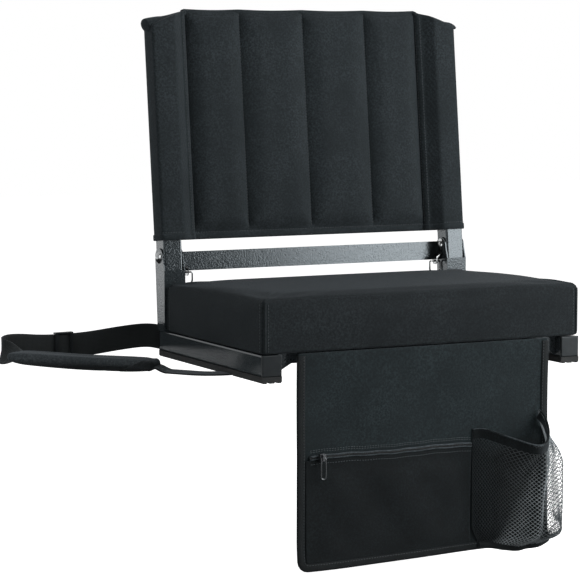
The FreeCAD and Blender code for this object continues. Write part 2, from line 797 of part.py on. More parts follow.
binding = new_body("flap_binding")
bind_out = s.layer_gap + s.binding_cloth
bind_in = s.binding_width - bind_out
bind_top = -2 * s.hem_round - s.layer_gap
bind_thick = s.flap_cloth + 2 * bind_out
lower = -s.flap_length
strip_outline = [
    (-flap_half - bind_out, lower - bind_out),
    (flap_half + bind_out, lower - bind_out),
    (flap_half + bind_out, bind_top),
    (flap_half - bind_in, bind_top),
    (flap_half - bind_in, lower + bind_in),
    (-flap_half + bind_in, lower + bind_in),
    (-flap_half + bind_in, bind_top),
    (-flap_half - bind_out, bind_top),
]
strip = pad(binding, draw(binding, "XZ_Plane", strip_outline), bind_thick)
smooth(binding, strip, s.flap_corner + bind_out, lambda edge: along(edge, V(0, 1, 0))
       and edge.BoundBox.ZMax < mm(lower - bind_out) + 0.01)
slot = [
    (-flap_half - s.layer_gap, lower - s.layer_gap + s.flap_corner),
    (-flap_half - s.layer_gap + s.flap_corner, lower - s.layer_gap),
    (flap_half + s.layer_gap - s.flap_corner, lower - s.layer_gap),
    (flap_half + s.layer_gap, lower - s.layer_gap + s.flap_corner),
    (flap_half + s.layer_gap, 0),
    (-flap_half - s.layer_gap, 0),
]
corner_centre_z = lower - s.layer_gap + s.flap_corner
corner_centre_x = flap_half + s.layer_gap - s.flap_corner
slot[0] = slot[0] + ((-corner_centre_x, corner_centre_z),)
slot[2] = slot[2] + ((corner_centre_x, corner_centre_z),)
pocket(binding, draw(binding, "XZ_Plane", slot), s.flap_cloth + 2 * s.layer_gap)
place(binding, 0, hem_y, hem_z)

# Zip pocket on the flap: tape with its coil, a swelling pocket panel below, slider and pull.
layer_y = hem_y - s.flap_cloth / 2 - s.layer_gap
zip_z = hem_z - s.zip_drop
zip_x0 = -flap_half + s.zip_inset
zip_length = s.flap_width - s.zip_inset - s.pouch_width - s.zip_end_gap
tape = new_body("zip_tape")
tape_half = s.tape_height / 2
tape_outline = rectangle(zip_x0, zip_x0 + zip_length, -tape_half, tape_half)
pad(tape, draw(tape, "XZ_Plane", tape_outline), s.tape_cloth, both_ways=False)
coil = [
    (-s.tape_cloth, s.coil_round, (-s.tape_cloth, 0)),
    (-s.tape_cloth, -s.coil_round),
]
coil_sketch = draw(tape, "YZ_Plane", coil, lift=zip_x0)
pad(tape, coil_sketch, zip_length, both_ways=False)
place(tape, 0, layer_y, zip_z)

pocket_x0 = mm(-flap_half + bind_in + s.layer_gap)
pocket_x1 = mm(zip_x0 + zip_length)
pocket_z1 = mm(zip_z - tape_half - s.layer_gap)
pocket_z0 = mm(hem_z + lower + bind_in + s.layer_gap)
swelling = mm(s.pocket_swell)
skin_levels = [(0, 0), (0.3, 0.5), (0.6, 3), (0.85, 10), (1, 26)]
skins = []
for share, away in skin_levels:
    skin = pillow_outline(pocket_x0 + away, pocket_x1 - away, pocket_z0 + away, pocket_z1 - away,
                          share * swelling, 6 + 0.5 * away, 0.2)
    skins.append(skin)
pocket_panel = Part.makeLoft(skins, True, True)
pocket_item = free_form("zip_pocket", pocket_panel)
place(pocket_item, 0, layer_y, 0, (V(1, 0, 0), 90))

slider = new_body("zip_slider")
slider_half = s.slider_height / 2
slider_back = -s.tape_cloth - s.slider_gap
slider_front = slider_back - s.slider_depth
slider_body = rectangle(slider_front, slider_back, -slider_half, slider_half)
slider_block = pad(slider, draw(slider, "YZ_Plane", slider_body), s.slider_length)
smooth(slider, slider_block, 1.2, lambda edge: along(edge, V(0, 1, 0)))
coil_slot_half = s.coil_round + s.slider_gap
coil_slot = rectangle(slider_back - s.coil_round, slider_back, -coil_slot_half, coil_slot_half)
pocket(slider, draw(slider, "YZ_Plane", coil_slot), 2 * s.slider_length)
bridge_y = slider_front - s.bridge_depth / 2
bridge = rectangle(slider_front - s.bridge_depth, slider_front, -0.8 * slider_half, 0.8 * slider_half)
pad(slider, draw(slider, "YZ_Plane", bridge), s.bridge_width)
eye = [(bridge_y, 0, s.pull_wire / 2 + s.pull_hole_gap)]
pocket(slider, draw(slider, "YZ_Plane", circles=eye), 2 * s.bridge_width)
slider_x = zip_x0 + s.slider_start
place(slider, slider_x, layer_y, zip_z)

pull_shape = wire_loop(mm(s.pull_width - s.pull_wire) / 2, mm(s.pull_length), mm(s.pull_corner),
                       mm(s.pull_wire), False)
pull = free_form("zip_pull", pull_shape)
place(pull, slider_x, layer_y + bridge_y, zip_z)

# Mesh bottle pocket: a deep curved pouch on the flap's right, with an elastic band at its mouth.
pouch_back = mm(hem_y - s.flap_cloth / 2 - bind_out - s.layer_gap)
pouch_x1 = mm(flap_half)
pouch_x0 = pouch_x1 - mm(s.pouch_width)
pouch_top = mm(hem_z - s.pouch_drop)
POUCH_LEVELS = [(0, 0.985), (0.25, 1), (0.55, 1), (0.78, 0.96), (0.91, 0.82), (0.975, 0.55), (1, 0.3)]


def pouch_form(grow, deeper=0):
    """The pouch's outside, grown on all sides; deeper moves its back towards the flap."""
    outlines = []
    for share, fullness in POUCH_LEVELS:
        z = pouch_top + 6 - share * (mm(s.pouch_height) + 6 + grow)
        depth = fullness * mm(s.pouch_depth) + grow
        flare = fullness * mm(s.pouch_flare)
        x0, x1 = pouch_x0 - grow, pouch_x1 + grow
        width = x1 - x0
        back = pouch_back + deeper
        a, b = V(x0, pouch_back, z), V(x1, pouch_back, z)
        rear_a, rear_b = V(x0, back, z), V(x1, back, z)
        c = V(x1 - 0.16 * width, pouch_back - 0.8 * depth, z)
        d = V(x0 + 0.3 * width, pouch_back - 0.84 * depth, z)
        right = V(x1 + 0.4 * flare, pouch_back - 0.42 * depth, z)
        left = V(x0 + 0.1 * width, pouch_back - 0.47 * depth, z)
        front = V((c.x + d.x) / 2, pouch_back - depth, z)
        curve = [arc(b, right, c), arc(c, front, d), arc(d, left, a)]
        if deeper:
            curve = [line(rear_b, b)] + curve + [line(a, rear_a)]
        outlines.append(Part.Wire([line(rear_a, rear_b)] + curve))
    return Part.makeLoft(outlines, True, True)


def above_mouth(drop):
    """Everything above the mouth's plane, which dips towards the front."""
    dip = mm(s.mouth_dip) / mm(s.pouch_depth)
    far, near = pouch_back + 40, pouch_back - 120
    side = [
        V(-400, far, pouch_top - drop + dip * (far - pouch_back)),
        V(-400, near, pouch_top - drop + dip * (near - pouch_back)),
        V(-400, near, 200),
        V(-400, far, 200),
    ]
    return Part.Face(loop(side)).extrude(V(800, 0, 0))


pouch = pouch_form(0).cut(pouch_form(-mm(s.mesh_wall), 3)).cut(above_mouth(0))
free_form("mesh_pocket", pouch)
band_gap = mm(s.band_gap)
band = pouch_form(band_gap + mm(s.band_cloth)).cut(pouch_form(band_gap, 3))
band = band.cut(above_mouth(0)).common(above_mouth(mm(s.band_height)))
free_form("mesh_band", band)


# Shoulder strap: webbing on edge behind the left upright, folded back into a pad, and webbing
# that runs flat on the bench and under the left runner.
def rounded_path(points):
    """Straight runs joined by tangent arcs, with its smallest radius."""
    edges = []
    radii = []
    start = points[0]
    for before, corner, after in zip(points, points[1:], points[2:]):
        u = (corner - before).normalize()
        w = (after - corner).normalize()
        turn = math.acos(max(-1, min(1, u.dot(w))))
        run = min((corner - before).Length, (after - corner).Length)
        cut = 0.45 * run
        radius = cut / math.tan(turn / 2)
        radii.append(radius)
        a, b = corner - u * cut, corner + w * cut
        inward = (w - u).normalize()
        centre = corner + inward * (radius / math.cos(turn / 2))
        edges.append(line(start, a))
        edges.append(arc(a, centre - inward * radius, b))
        start = b
    edges.append(line(start, points[-1]))
    return Part.Wire(edges), min(radii)


webbing = mm(s.strap_cloth)
web_half = mm(s.strap_width) / 2
strap_x = mm(-rail_inner + s.strap_gap) + webbing / 2
edge_z = mm(rail_top) - web_half
behind = mm(frame_end)
seat_half = mm(s.seat_width) / 2


def beside(share, y):
    """A point of the strap's route, by its share of the strap's reach beside the seat."""
    return V(-seat_half - share * mm(s.strap_reach), y, 0)


pad_start = beside(0.872, behind - 27)
pad_end = beside(0.322, mm(s.strap_line) + 58)
pad_way = (pad_end - pad_start).normalize()
route = [
    V(strap_x, behind - mm(s.strap_start), 0),
    V(strap_x, behind + 11, 0),
    V(strap_x - 9, behind + 17.5, 0),
    beside(0.03, behind + 18.5),
    beside(0.2, behind + 18),
    beside(0.445, behind + 19),
    beside(0.701, behind + 16.5),
    beside(0.858, behind + 14.5),
    beside(0.943, behind + 11.5),
    beside(1, behind + 2),
    pad_start - pad_way * 33,
    pad_start - pad_way * mm(s.strap_gap),
]
path, tightest = rounded_path([p + V(0, 0, edge_z) for p in route])
print(f"rear webbing: length {path.Length:.1f}, smallest radius {tightest:.1f}")
first = route[0]
edge_profile = loop([
    V(first.x - webbing / 2, first.y, edge_z - web_half),
    V(first.x + webbing / 2, first.y, edge_z - web_half),
    V(first.x + webbing / 2, first.y, edge_z + web_half),
    V(first.x - webbing / 2, first.y, edge_z + web_half),
])
free_form("strap_webbing_rear", swept(path, edge_profile))

pad_length = (pad_end - pad_start).Length
pad_sections = []
for share, fullness in [(0, 0.72), (0.05, 0.9), (0.14, 1), (0.86, 1), (0.95, 0.9), (1, 0.72)]:
    half = fullness * mm(s.pad_width) / 2
    thick = fullness * mm(s.pad_swell)
    pad_sections.append(pillow_outline(0, thick, -half, half, share * pad_length, 0.32 * thick, 0.1))
strap_pad = Part.makeLoft(pad_sections, True, True)
pad_item = free_form("strap_pad", strap_pad)
across = pad_way.cross(V(0, 0, 1))
turned = FreeCAD.Matrix(0, across.x, pad_way.x, pad_start.x, 0, across.y, pad_way.y, pad_start.y,
                        1, 0, 0, mm(s.pad_lift), 0, 0, 0, 1)
pad_item.Placement = FreeCAD.Placement(turned)

flat_z = mm(s.strap_gap) + webbing / 2
front_y = mm(s.strap_line)
bend = mm(s.strap_bend)
corner = beside(0.104, front_y) + V(0, 0, flat_z)
flat_start = pad_end + pad_way * mm(s.strap_gap) + V(0, 0, flat_z)
flat_next = pad_end + pad_way * 26 + V(0, 0, flat_z)
flat_end = V(strap_x - bend, front_y, flat_z)
flat_path, flat_radius = rounded_path([flat_start, flat_next, corner, flat_end])
print(f"front webbing: length {flat_path.Length:.1f}, smallest radius {flat_radius:.1f}")
rise = bend * math.sqrt(0.5)
upward = [
    arc(V(strap_x - bend, front_y, flat_z), V(strap_x - bend + rise, front_y, flat_z + bend - rise),
        V(strap_x, front_y, flat_z + bend)),
    line(V(strap_x, front_y, flat_z + bend), V(strap_x, front_y, flat_z + bend + mm(s.strap_up))),
]
flat_path = Part.Wire(flat_path.Edges + upward)
heading = pad_way
sideways = V(0, 0, 1).cross(heading) * web_half
up = V(0, 0, webbing / 2)
flat_profile = loop([flat_start - sideways - up, flat_start + sideways - up,
                     flat_start + sideways + up, flat_start - sideways + up])
free_form("strap_webbing_front", swept(flat_path, flat_profile))


# Anchor plates on the left rail's inner face, each with two stud heads.
def anchor(label, y, z, turned_up):
    body = new_body(label)
    half_long, half_wide = s.anchor_length / 2, s.anchor_width / 2
    across, high = (half_wide, half_long) if turned_up else (half_long, half_wide)
    pad(body, draw(body, "YZ_Plane", rectangle(-across, across, -high, high)), s.anchor_sheet, both_ways=False)
    apart = s.anchor_width / 4
    spots = [(apart, 0), (-apart, 0)] if turned_up else [(0, apart), (0, -apart)]
    studs = [(a, b, s.anchor_stud / 2) for a, b in spots]
    stud_sketch = draw(body, "YZ_Plane", circles=studs)
    pad(body, stud_sketch, s.anchor_sheet + s.anchor_stud_height, both_ways=False)
    place(body, -rail_inner + s.strap_gap + s.strap_cloth, y, z)


anchor("strap_anchor_rear", frame_end - s.strap_start + s.anchor_length / 2 + 2,
       rail_top - s.strap_width / 2, False)
anchor("strap_anchor_front", s.strap_line, s.strap_gap + s.strap_bend + s.strap_up - s.anchor_length / 2,
       True)

# Strap slider: a frame with three bars, woven on the rear webbing.
buckle = new_body("strap_slider")
long_half = s.buckle_length / 2
tall_half = s.strap_width / 2 + s.buckle_gap + s.buckle_side
thick_half = s.strap_cloth / 2 + s.buckle_gap + s.buckle_sheet
pad(buckle, draw(buckle, "XZ_Plane", rectangle(-long_half, long_half, -tall_half, tall_half)), 2 * thick_half)
window = s.strap_width + 2 * s.buckle_gap
front_gap = rectangle(-long_half + s.buckle_bar, long_half - s.buckle_bar, -window / 2, window / 2)
pocket(buckle, draw(buckle, "XZ_Plane", front_gap, lift=s.strap_cloth / 2 + s.buckle_gap),
       s.buckle_sheet, both_ways=False, other_way=True)
lane = rectangle(-s.buckle_length, s.buckle_length, -window / 2, window / 2)
pocket(buckle, draw(buckle, "XZ_Plane", lane), s.strap_cloth + 2 * s.buckle_gap)
for end in (-1, 1):
    inner, outer = end * s.buckle_bar / 2, end * long_half * 2
    x0, x1 = (inner, outer) if end > 0 else (outer, inner)
    gap = rectangle(x0, x1, -window / 2, window / 2)
    pocket(buckle, draw(buckle, "XZ_Plane", gap, lift=-s.strap_cloth / 2 - s.buckle_gap),
           s.buckle_sheet, both_ways=False)
buckle_at = (route[5] + route[6]) * 0.5
buckle_way = route[6] - route[5]
buckle_turn = math.degrees(math.atan2(-buckle_way.y, -buckle_way.x))
place(buckle, buckle_at.x, buckle_at.y, rail_top - s.strap_width / 2, (V(0, 0, 1), buckle_turn))

# Every piece is sound before it is written out.
doc.recompute()
faults = []
for item in doc.Objects:
    if "Invalid" in item.State or "Error" in item.State:
        faults.append(f"{item.Label}: {item.State}")
for item in pieces:
    if item.Shape.isNull() or not item.Shape.isValid() or item.Shape.Volume < 1:
        faults.append(f"{item.Label}: unsound shape")
if faults:
    raise RuntimeError("; ".join(faults))
os.makedirs("parts", exist_ok=True)
for item in pieces:
    item.Shape.exportStep(f"parts/{item.Label}.step")
    box = item.Shape.BoundBox
    print(f"{item.Label}: solids {len(item.Shape.Solids)}, volume {item.Shape.Volume / 1000:.2f} cm3, "
          f"x {box.XMin:.1f} {box.XMax:.1f}, y {box.YMin:.1f} {box.YMax:.1f}, z {box.ZMin:.1f} {box.ZMax:.1f}")
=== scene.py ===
import math

import bpy
import numpy as np
from mathutils import Matrix, Vector
from mathutils.bvhtree import BVHTree


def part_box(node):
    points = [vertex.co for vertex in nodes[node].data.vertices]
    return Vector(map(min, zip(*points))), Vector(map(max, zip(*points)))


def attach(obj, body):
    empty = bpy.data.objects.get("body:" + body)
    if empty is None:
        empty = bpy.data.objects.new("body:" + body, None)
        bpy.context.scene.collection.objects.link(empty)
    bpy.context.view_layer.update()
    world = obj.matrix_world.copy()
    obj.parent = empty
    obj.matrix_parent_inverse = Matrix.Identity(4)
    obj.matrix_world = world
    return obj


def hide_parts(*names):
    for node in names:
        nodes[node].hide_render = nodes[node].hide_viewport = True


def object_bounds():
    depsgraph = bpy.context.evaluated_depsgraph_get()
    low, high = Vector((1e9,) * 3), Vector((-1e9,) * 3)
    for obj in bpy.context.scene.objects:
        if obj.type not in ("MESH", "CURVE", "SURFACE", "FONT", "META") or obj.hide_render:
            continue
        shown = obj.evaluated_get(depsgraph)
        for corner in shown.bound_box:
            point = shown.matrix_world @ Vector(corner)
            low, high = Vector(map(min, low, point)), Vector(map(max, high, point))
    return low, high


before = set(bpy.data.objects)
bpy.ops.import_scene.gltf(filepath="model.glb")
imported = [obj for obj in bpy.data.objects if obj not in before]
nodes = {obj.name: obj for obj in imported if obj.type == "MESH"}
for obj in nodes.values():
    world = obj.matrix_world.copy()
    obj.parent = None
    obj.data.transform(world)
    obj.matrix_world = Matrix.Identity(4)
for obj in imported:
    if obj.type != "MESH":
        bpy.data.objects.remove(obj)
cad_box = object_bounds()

# Studio: a white sweep, one large soft box in front on the right, a soft overhead light and a fill on the
# left.  The camera stands in front, a little to the left, at about the height of the back.
scene = bpy.context.scene
scene.view_settings.view_transform = "Standard"

camera_place = (-1.4202, -2.5630, 0.3764)
camera_turn = (math.radians(84.332), 0, math.radians(-27.139))
bpy.ops.object.camera_add(location=camera_place, rotation=camera_turn)
camera = bpy.context.object
camera.data.lens = 148.06
scene.camera = camera


def add_node(tree, kind, sockets=(), **settings):
    """A shader node with its settings; sockets pairs each input with a value or another node's output."""
    made = tree.nodes.new(kind)
    for key, value in settings.items():
        setattr(made, key, value)
    for key, value in dict(sockets).items():
        if isinstance(value, bpy.types.NodeSocket):
            tree.links.new(value, made.inputs[key])
        else:
            made.inputs[key].default_value = value
    return made


def figure(tree, operation, first, second=0.0):
    """The output of one Math node."""
    return add_node(tree, "ShaderNodeMath", {0: first, 1: second}, operation=operation).outputs[0]


def number_range(tree, value, low, high, to_low=0.0, to_high=1.0, **settings):
    """A value carried over from one range to another and held at its ends."""
    ends = {0: value, 1: low, 2: high, 3: to_low, 4: to_high}
    return add_node(tree, "ShaderNodeMapRange", ends, **settings).outputs[0]


def blend_numbers(tree, share, first, second):
    return add_node(tree, "ShaderNodeMix", {0: share, 2: first, 3: second}, data_type="FLOAT").outputs[0]


def blend_colours(tree, share, first, second):
    return add_node(tree, "ShaderNodeMix", {0: share, 6: first, 7: second}, data_type="RGBA").outputs[2]


def object_spot(tree):
    return add_node(tree, "ShaderNodeTexCoord").outputs["Object"]


def axes_of(tree, spot):
    return add_node(tree, "ShaderNodeSeparateXYZ", {0: spot}).outputs


def new_finish(name, values):
    """A material with a Principled shader, whose plain values are set on its own sockets."""
    made = bpy.data.materials.new(name)
    made.use_nodes = True
    for key, value in values.items():
        made.node_tree.nodes["Principled BSDF"].inputs[key].default_value = value
    return made, made.node_tree


def feed(tree, socket, source):
    tree.links.new(source, tree.nodes["Principled BSDF"].inputs[socket])


def soft_box(name, place, aim, width, height, power):
    bpy.ops.object.light_add(type="AREA", location=place)
    lamp = bpy.context.object
    lamp.name = name
    lamp.data.shape = "RECTANGLE"
    lamp.data.size = width
    lamp.data.size_y = height
    lamp.data.energy = power
    lamp.rotation_euler = (Vector(aim) - Vector(place)).to_track_quat("-Z", "Y").to_euler()


seat_middle = (0, 0, 0.12)
soft_box("key_light", (1.155, -0.9, 0.62), seat_middle, 1.3, 1.3, 41)
soft_box("top_light", (0.2, 0.2, 2.2), seat_middle, 1.8, 1.8, 10)
soft_box("left_fill", (-2.4, -0.6, 1.0), seat_middle, 1.2, 1.6, 21)

sweep_light = 0.17
room_gloss = 0.03
world = bpy.data.worlds.new("white_sweep")
scene.world = world
world.use_nodes = True
tree = world.node_tree
rays = add_node(tree, "ShaderNodeLightPath").outputs
towards = axes_of(tree, add_node(tree, "ShaderNodeTexCoord").outputs["Generated"])
sweep = number_range(tree, towards["Y"], -0.15, 0.3, room_gloss, 1.0, interpolation_type="SMOOTHSTEP")
lit = blend_numbers(tree, rays["Is Glossy Ray"], sweep_light, sweep)
straight = figure(tree, "MAXIMUM", rays["Is Camera Ray"], rays["Is Transmission Ray"])
background = tree.nodes["Background"].inputs
tree.links.new(blend_numbers(tree, straight, lit, 1.0), background["Strength"])
background["Color"].default_value = (1, 1, 1, 1)

floor_gap = 0.003
floor_white = 0.93
far_shine = 1.8
bpy.ops.mesh.primitive_plane_add(size=14, location=(0, 0, cad_box[0].z - floor_gap))
floor = bpy.context.object
floor.name = "studio_floor"
floor_finish, tree = new_finish("pale_floor", {"Roughness": 0.9, "Specular IOR Level": 0,
                                               "Emission Color": (1, 1, 1, 1)})
rays = add_node(tree, "ShaderNodeLightPath").outputs
straight = figure(tree, "MAXIMUM", rays["Is Camera Ray"], rays["Is Transmission Ray"])
# For glossy rays only, the floor glows brightly far from the seat and is dark near it. At the back left, a
# dim patch and a bright strip take the place of that glow. This glow is painted on the floor, so that the
# metal shows painted reflections.
spot = object_spot(tree)
away = add_node(tree, "ShaderNodeVectorMath", {0: spot}, operation="LENGTH").outputs["Value"]
far = number_range(tree, away, 2.3, 3.6)
over = axes_of(tree, spot)
corner = figure(tree, "MULTIPLY", number_range(tree, over["Y"], 0.6, 0.9),
                number_range(tree, over["X"], -0.6, -0.8))
glossy_glow_patch = figure(tree, "MULTIPLY", number_range(tree, over["X"], -1.08, -1.06, 0.03, 0.36),
                   number_range(tree, over["Y"], 1.74, 1.9, 0.05))
glossy_glow_strip = number_range(tree, over["X"], -1.15, -1.24, 0.0, 1.7)
around = blend_numbers(tree, corner, figure(tree, "MULTIPLY", far, far_shine),
                       figure(tree, "MAXIMUM", glossy_glow_patch, glossy_glow_strip))
shine = figure(tree, "MULTIPLY", around, rays["Is Glossy Ray"])
near = figure(tree, "MULTIPLY", figure(tree, "SUBTRACT", 1.0, far), rays["Is Glossy Ray"])
feed(tree, "Base Color", blend_colours(tree, near, (0.8, 0.8, 0.8, 1), (0.07, 0.07, 0.07, 1)))
seen = figure(tree, "MULTIPLY", straight, floor_white)
feed(tree, "Emission Strength", figure(tree, "MAXIMUM", seen, shine))
floor.data.materials.append(floor_finish)


# Steel frame: base rails, their cross bars, the hinge uprights, the back rails and the flat bar
# between them.  Square tube and folded sheet, under a grey-black hammertone enamel.
def new_group(name, inputs, outputs):
    """An empty node group with number sockets; gives the group and its inner ends."""
    group = bpy.data.node_groups.new(name, "ShaderNodeTree")
    for title, value in inputs.items():
        socket = group.interface.new_socket(title, in_out="INPUT", socket_type="NodeSocketFloat")
        socket.default_value = value
    for title in outputs:
        group.interface.new_socket(title, in_out="OUTPUT", socket_type="NodeSocketFloat")
    return group, group.nodes.new("NodeGroupInput").outputs, group.nodes.new("NodeGroupOutput").inputs


def place_group(tree, group, values):
    return add_node(tree, "ShaderNodeGroup", values, node_tree=group).outputs


def set_surface(tree, colour, rough=None, height=None, depth=0.0, strength=1.0):
    """Feeds colour, roughness and relief to a finish's shader, as far as they are given."""
    feed(tree, "Base Color", colour)
    if rough is not None:
        feed(tree, "Roughness", rough)
    if depth:
        bump = add_node(tree, "ShaderNodeBump", {"Height": height, "Distance": depth, "Strength": strength})
        feed(tree, "Normal", bump.outputs[0])


def give_finish(names, finish):
    for name in names:
        for slot in nodes[name].material_slots:
            slot.material = finish


def each_side(*stems):
    return [f"{stem}_{side}" for side in ("left", "right") for stem in stems]


def noise(tree, spot, scale, detail=2.0, roughness=0.5):
    sockets = {"Vector": spot, "Scale": scale, "Detail": detail, "Roughness": roughness}
    return add_node(tree, "ShaderNodeTexNoise", sockets).outputs


wear, ends_in, ends_out = new_group("scuffs", {"Size": 40.0, "Amount": 0.5}, ["Mask", "Grain"])
spot = object_spot(wear)
patches = number_range(wear, noise(wear, spot, ends_in["Size"], 5, 0.65)["Fac"], 0.48, 0.78)
wear.links.new(figure(wear, "MULTIPLY", patches, ends_in["Amount"]), ends_out["Mask"])
wear.links.new(noise(wear, spot, 2600)["Fac"], ends_out["Grain"])


def hammertone(name, gloss, relief):
    """Baked enamel with small even dents, worn a little duller in patches."""
    made, tree = new_finish(name, {"Specular IOR Level": gloss, "Specular Tint": (0.84, 0.94, 1, 1)})
    spot = object_spot(tree)
    swirl = noise(tree, spot, 380)["Color"]
    nudged = add_node(tree, "ShaderNodeMix", {0: 0.004, 4: spot, 5: swirl}, data_type="VECTOR")
    dimple = add_node(tree, "ShaderNodeTexVoronoi",
                      {"Vector": nudged.outputs[1], "Scale": 620, "Smoothness": 0.8}, feature="SMOOTH_F1")
    dents = number_range(tree, dimple.outputs["Distance"], 0.1, 0.62)
    worn = place_group(tree, wear, {"Size": 28, "Amount": 0.4})
    tone = blend_colours(tree, dents, (0.009, 0.012, 0.0135, 1), (0.026, 0.0315, 0.0345, 1))
    set_surface(tree, blend_colours(tree, worn["Mask"], tone, (0.018, 0.022, 0.024, 1)),
                number_range(tree, dents, 0, 1, 0.1, 0.17), dents, 0.00012, relief)
    return made


give_finish(each_side("base_rail"), hammertone("rail_enamel", 0.4, 0.25))
give_finish(["front_cross_bar", "rear_cross_bar", "back_cross_bar"] + each_side("upright", "back_rail"),
            hammertone("frame_enamel", 0.65, 0.6))


# Tube ends and strap buckle: injection-moulded caps and plugs pressed into the square tubes, and the
# three-bar slider on the strap.  Black plastic with a fine spark-eroded grain and rubbed edges.
def worn_finish(name, values, size, amount, tones, rough, depth=0.0, strength=1.0):
    """A plain finish, rubbed in patches, with a fine grain in its gloss and relief."""
    made, tree = new_finish(name, values)
    worn = place_group(tree, wear, {"Size": size, "Amount": amount})
    set_surface(tree, blend_colours(tree, worn["Mask"], *tones),
                number_range(tree, worn["Grain"], 0.3, 0.7, *rough), worn["Grain"], depth, strength)
    return made


plastic = worn_finish("black_moulding", {"Specular IOR Level": 0.32, "Specular Tint": (0.86, 0.95, 1, 1)},
                      size=90, amount=0.6, tones=[(0.0066, 0.008, 0.0088, 1), (0.0165, 0.0182, 0.02, 1)],
                      rough=(0.3, 0.42), depth=0.00012, strength=0.6)
give_finish(["strap_slider"] + each_side("rail_cap_front", "rail_cap_rear", "back_plug"), plastic)

# Runners: dark rubber strips with two grip grooves, glued under the base rails.  They lie on the bench
# and carry the seat, so their faces are scuffed and dull.
rubber = worn_finish("dark_rubber", {"Specular IOR Level": 0.25}, size=60, amount=0.8,
                     tones=[(0.014, 0.0155, 0.016, 1), (0.032, 0.034, 0.034, 1)],
                     rough=(0.62, 0.85), depth=0.0002, strength=0.7)
give_finish(each_side("runner"), rubber)

# Rivets, ring clips and D-rings: the rivets are the hinges of the back, the clips sit under them and the
# rings hang in the clips.  Bright nickel-plated steel with faint polishing marks.
plated = worn_finish("bright_plate", {"Metallic": 1.0}, size=160, amount=0.7,
                     tones=[(0.3, 0.31, 0.315, 1), (0.15, 0.155, 0.16, 1)],
                     rough=(0.1, 0.26), depth=0.00005, strength=0.4)
give_finish(each_side("pivot_rivet", "ring_clip", "d_ring"), plated)

# Zip slider, its pull, the strap's anchor plates and the screws of the seat board: zinc die castings
# and pressings with a dull grey plating.
zinc = worn_finish("zinc_plate", {"Metallic": 1.0}, size=220, amount=0.9,
                   tones=[(0.2, 0.21, 0.22, 1), (0.11, 0.12, 0.13, 1)],
                   rough=(0.22, 0.42), depth=0.00006, strength=0.5)
give_finish(["zip_slider", "zip_pull", "strap_anchor_rear", "strap_anchor_front", "board_screws"], zinc)

# Seat board: plywood inside the cushion, screwed down on the cross bars, with its face grain along the
# seat's width.
plywood, tree = new_finish("birch_plywood", {})
lengthways = add_node(tree, "ShaderNodeMapping", {"Vector": object_spot(tree), "Scale": (3, 60, 400)})
grain = noise(tree, lengthways.outputs[0], 3, 6)["Fac"]
set_surface(tree, blend_colours(tree, grain, (0.5, 0.33, 0.18, 1), (0.3, 0.18, 0.09, 1)),
            number_range(tree, grain, 0.3, 0.7, 0.55, 0.8))
give_finish(["seat_board"], plywood)

# Seat cushion: a boxed cover of black polyester over foam, sewn along its four upright corners and
# pulled tight over the board, so its top crowns.  It stands a little higher in front than behind.
cushion_low, cushion_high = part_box("cushion_cover")
cushion_crown = 0.004
cushion_slack = 0.0006
top_edge_round = 0.006
corner_round = 0.004
cushion_grain = 0.0044
cushion_tilt = 0.006
staple_reach = 0.006
seam_reach = 0.007
seam_stop = 0.005


def middle_of(node):
    low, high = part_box(node)
    return (low + high) / 2


def deselect_all():
    if bpy.context.mode != "OBJECT":
        bpy.ops.object.mode_set(mode="OBJECT")
    bpy.ops.object.select_all(action="DESELECT")


def make_active(piece):
    deselect_all()
    piece.select_set(True)
    bpy.context.view_layer.objects.active = piece


def add_block(name, size, place=(0, 0, 0)):
    deselect_all()
    bpy.ops.mesh.primitive_cube_add(size=1, location=place, scale=size)
    piece = bpy.context.object
    piece.name = name
    bpy.ops.object.transform_apply(location=True, rotation=True, scale=True)
    return piece


def select_edges(piece, chosen):
    """Selects the edges whose two ends pass the test, and leaves the piece in edit mode."""
    make_active(piece)
    bpy.ops.object.mode_set(mode="EDIT")
    bpy.ops.mesh.select_mode(type="EDGE")
    bpy.ops.mesh.select_all(action="DESELECT")
    bpy.ops.object.mode_set(mode="OBJECT")
    points = piece.data.vertices
    for edge in piece.data.edges:
        a, b = (points[i].co for i in edge.vertices)
        edge.select = chosen(a, b)
    bpy.ops.object.mode_set(mode="EDIT")


def remesh(piece, grain):
    make_active(piece)
    piece.data.remesh_voxel_size = grain
    bpy.ops.object.voxel_remesh()


def points_of(piece):
    flat = np.empty(3 * len(piece.data.vertices), np.float32)
    piece.data.vertices.foreach_get("co", flat)
    return flat.reshape(-1, 3).astype(float)


def move_points(piece, places):
    piece.data.vertices.foreach_set("co", np.asarray(places, np.float32).ravel())
    piece.data.update()


def smooth(piece):
    make_active(piece)
    bpy.ops.object.shade_smooth()


def apply_modifier(piece, kind, **settings):
    make_active(piece)
    modifier = piece.modifiers.new(kind.lower(), kind)
    for key, value in settings.items():
        setattr(modifier, key, value)
    bpy.ops.object.modifier_apply(modifier=modifier.name)


def refine(piece):
    apply_modifier(piece, "SUBSURF", levels=1, render_levels=1)
    smooth(piece)


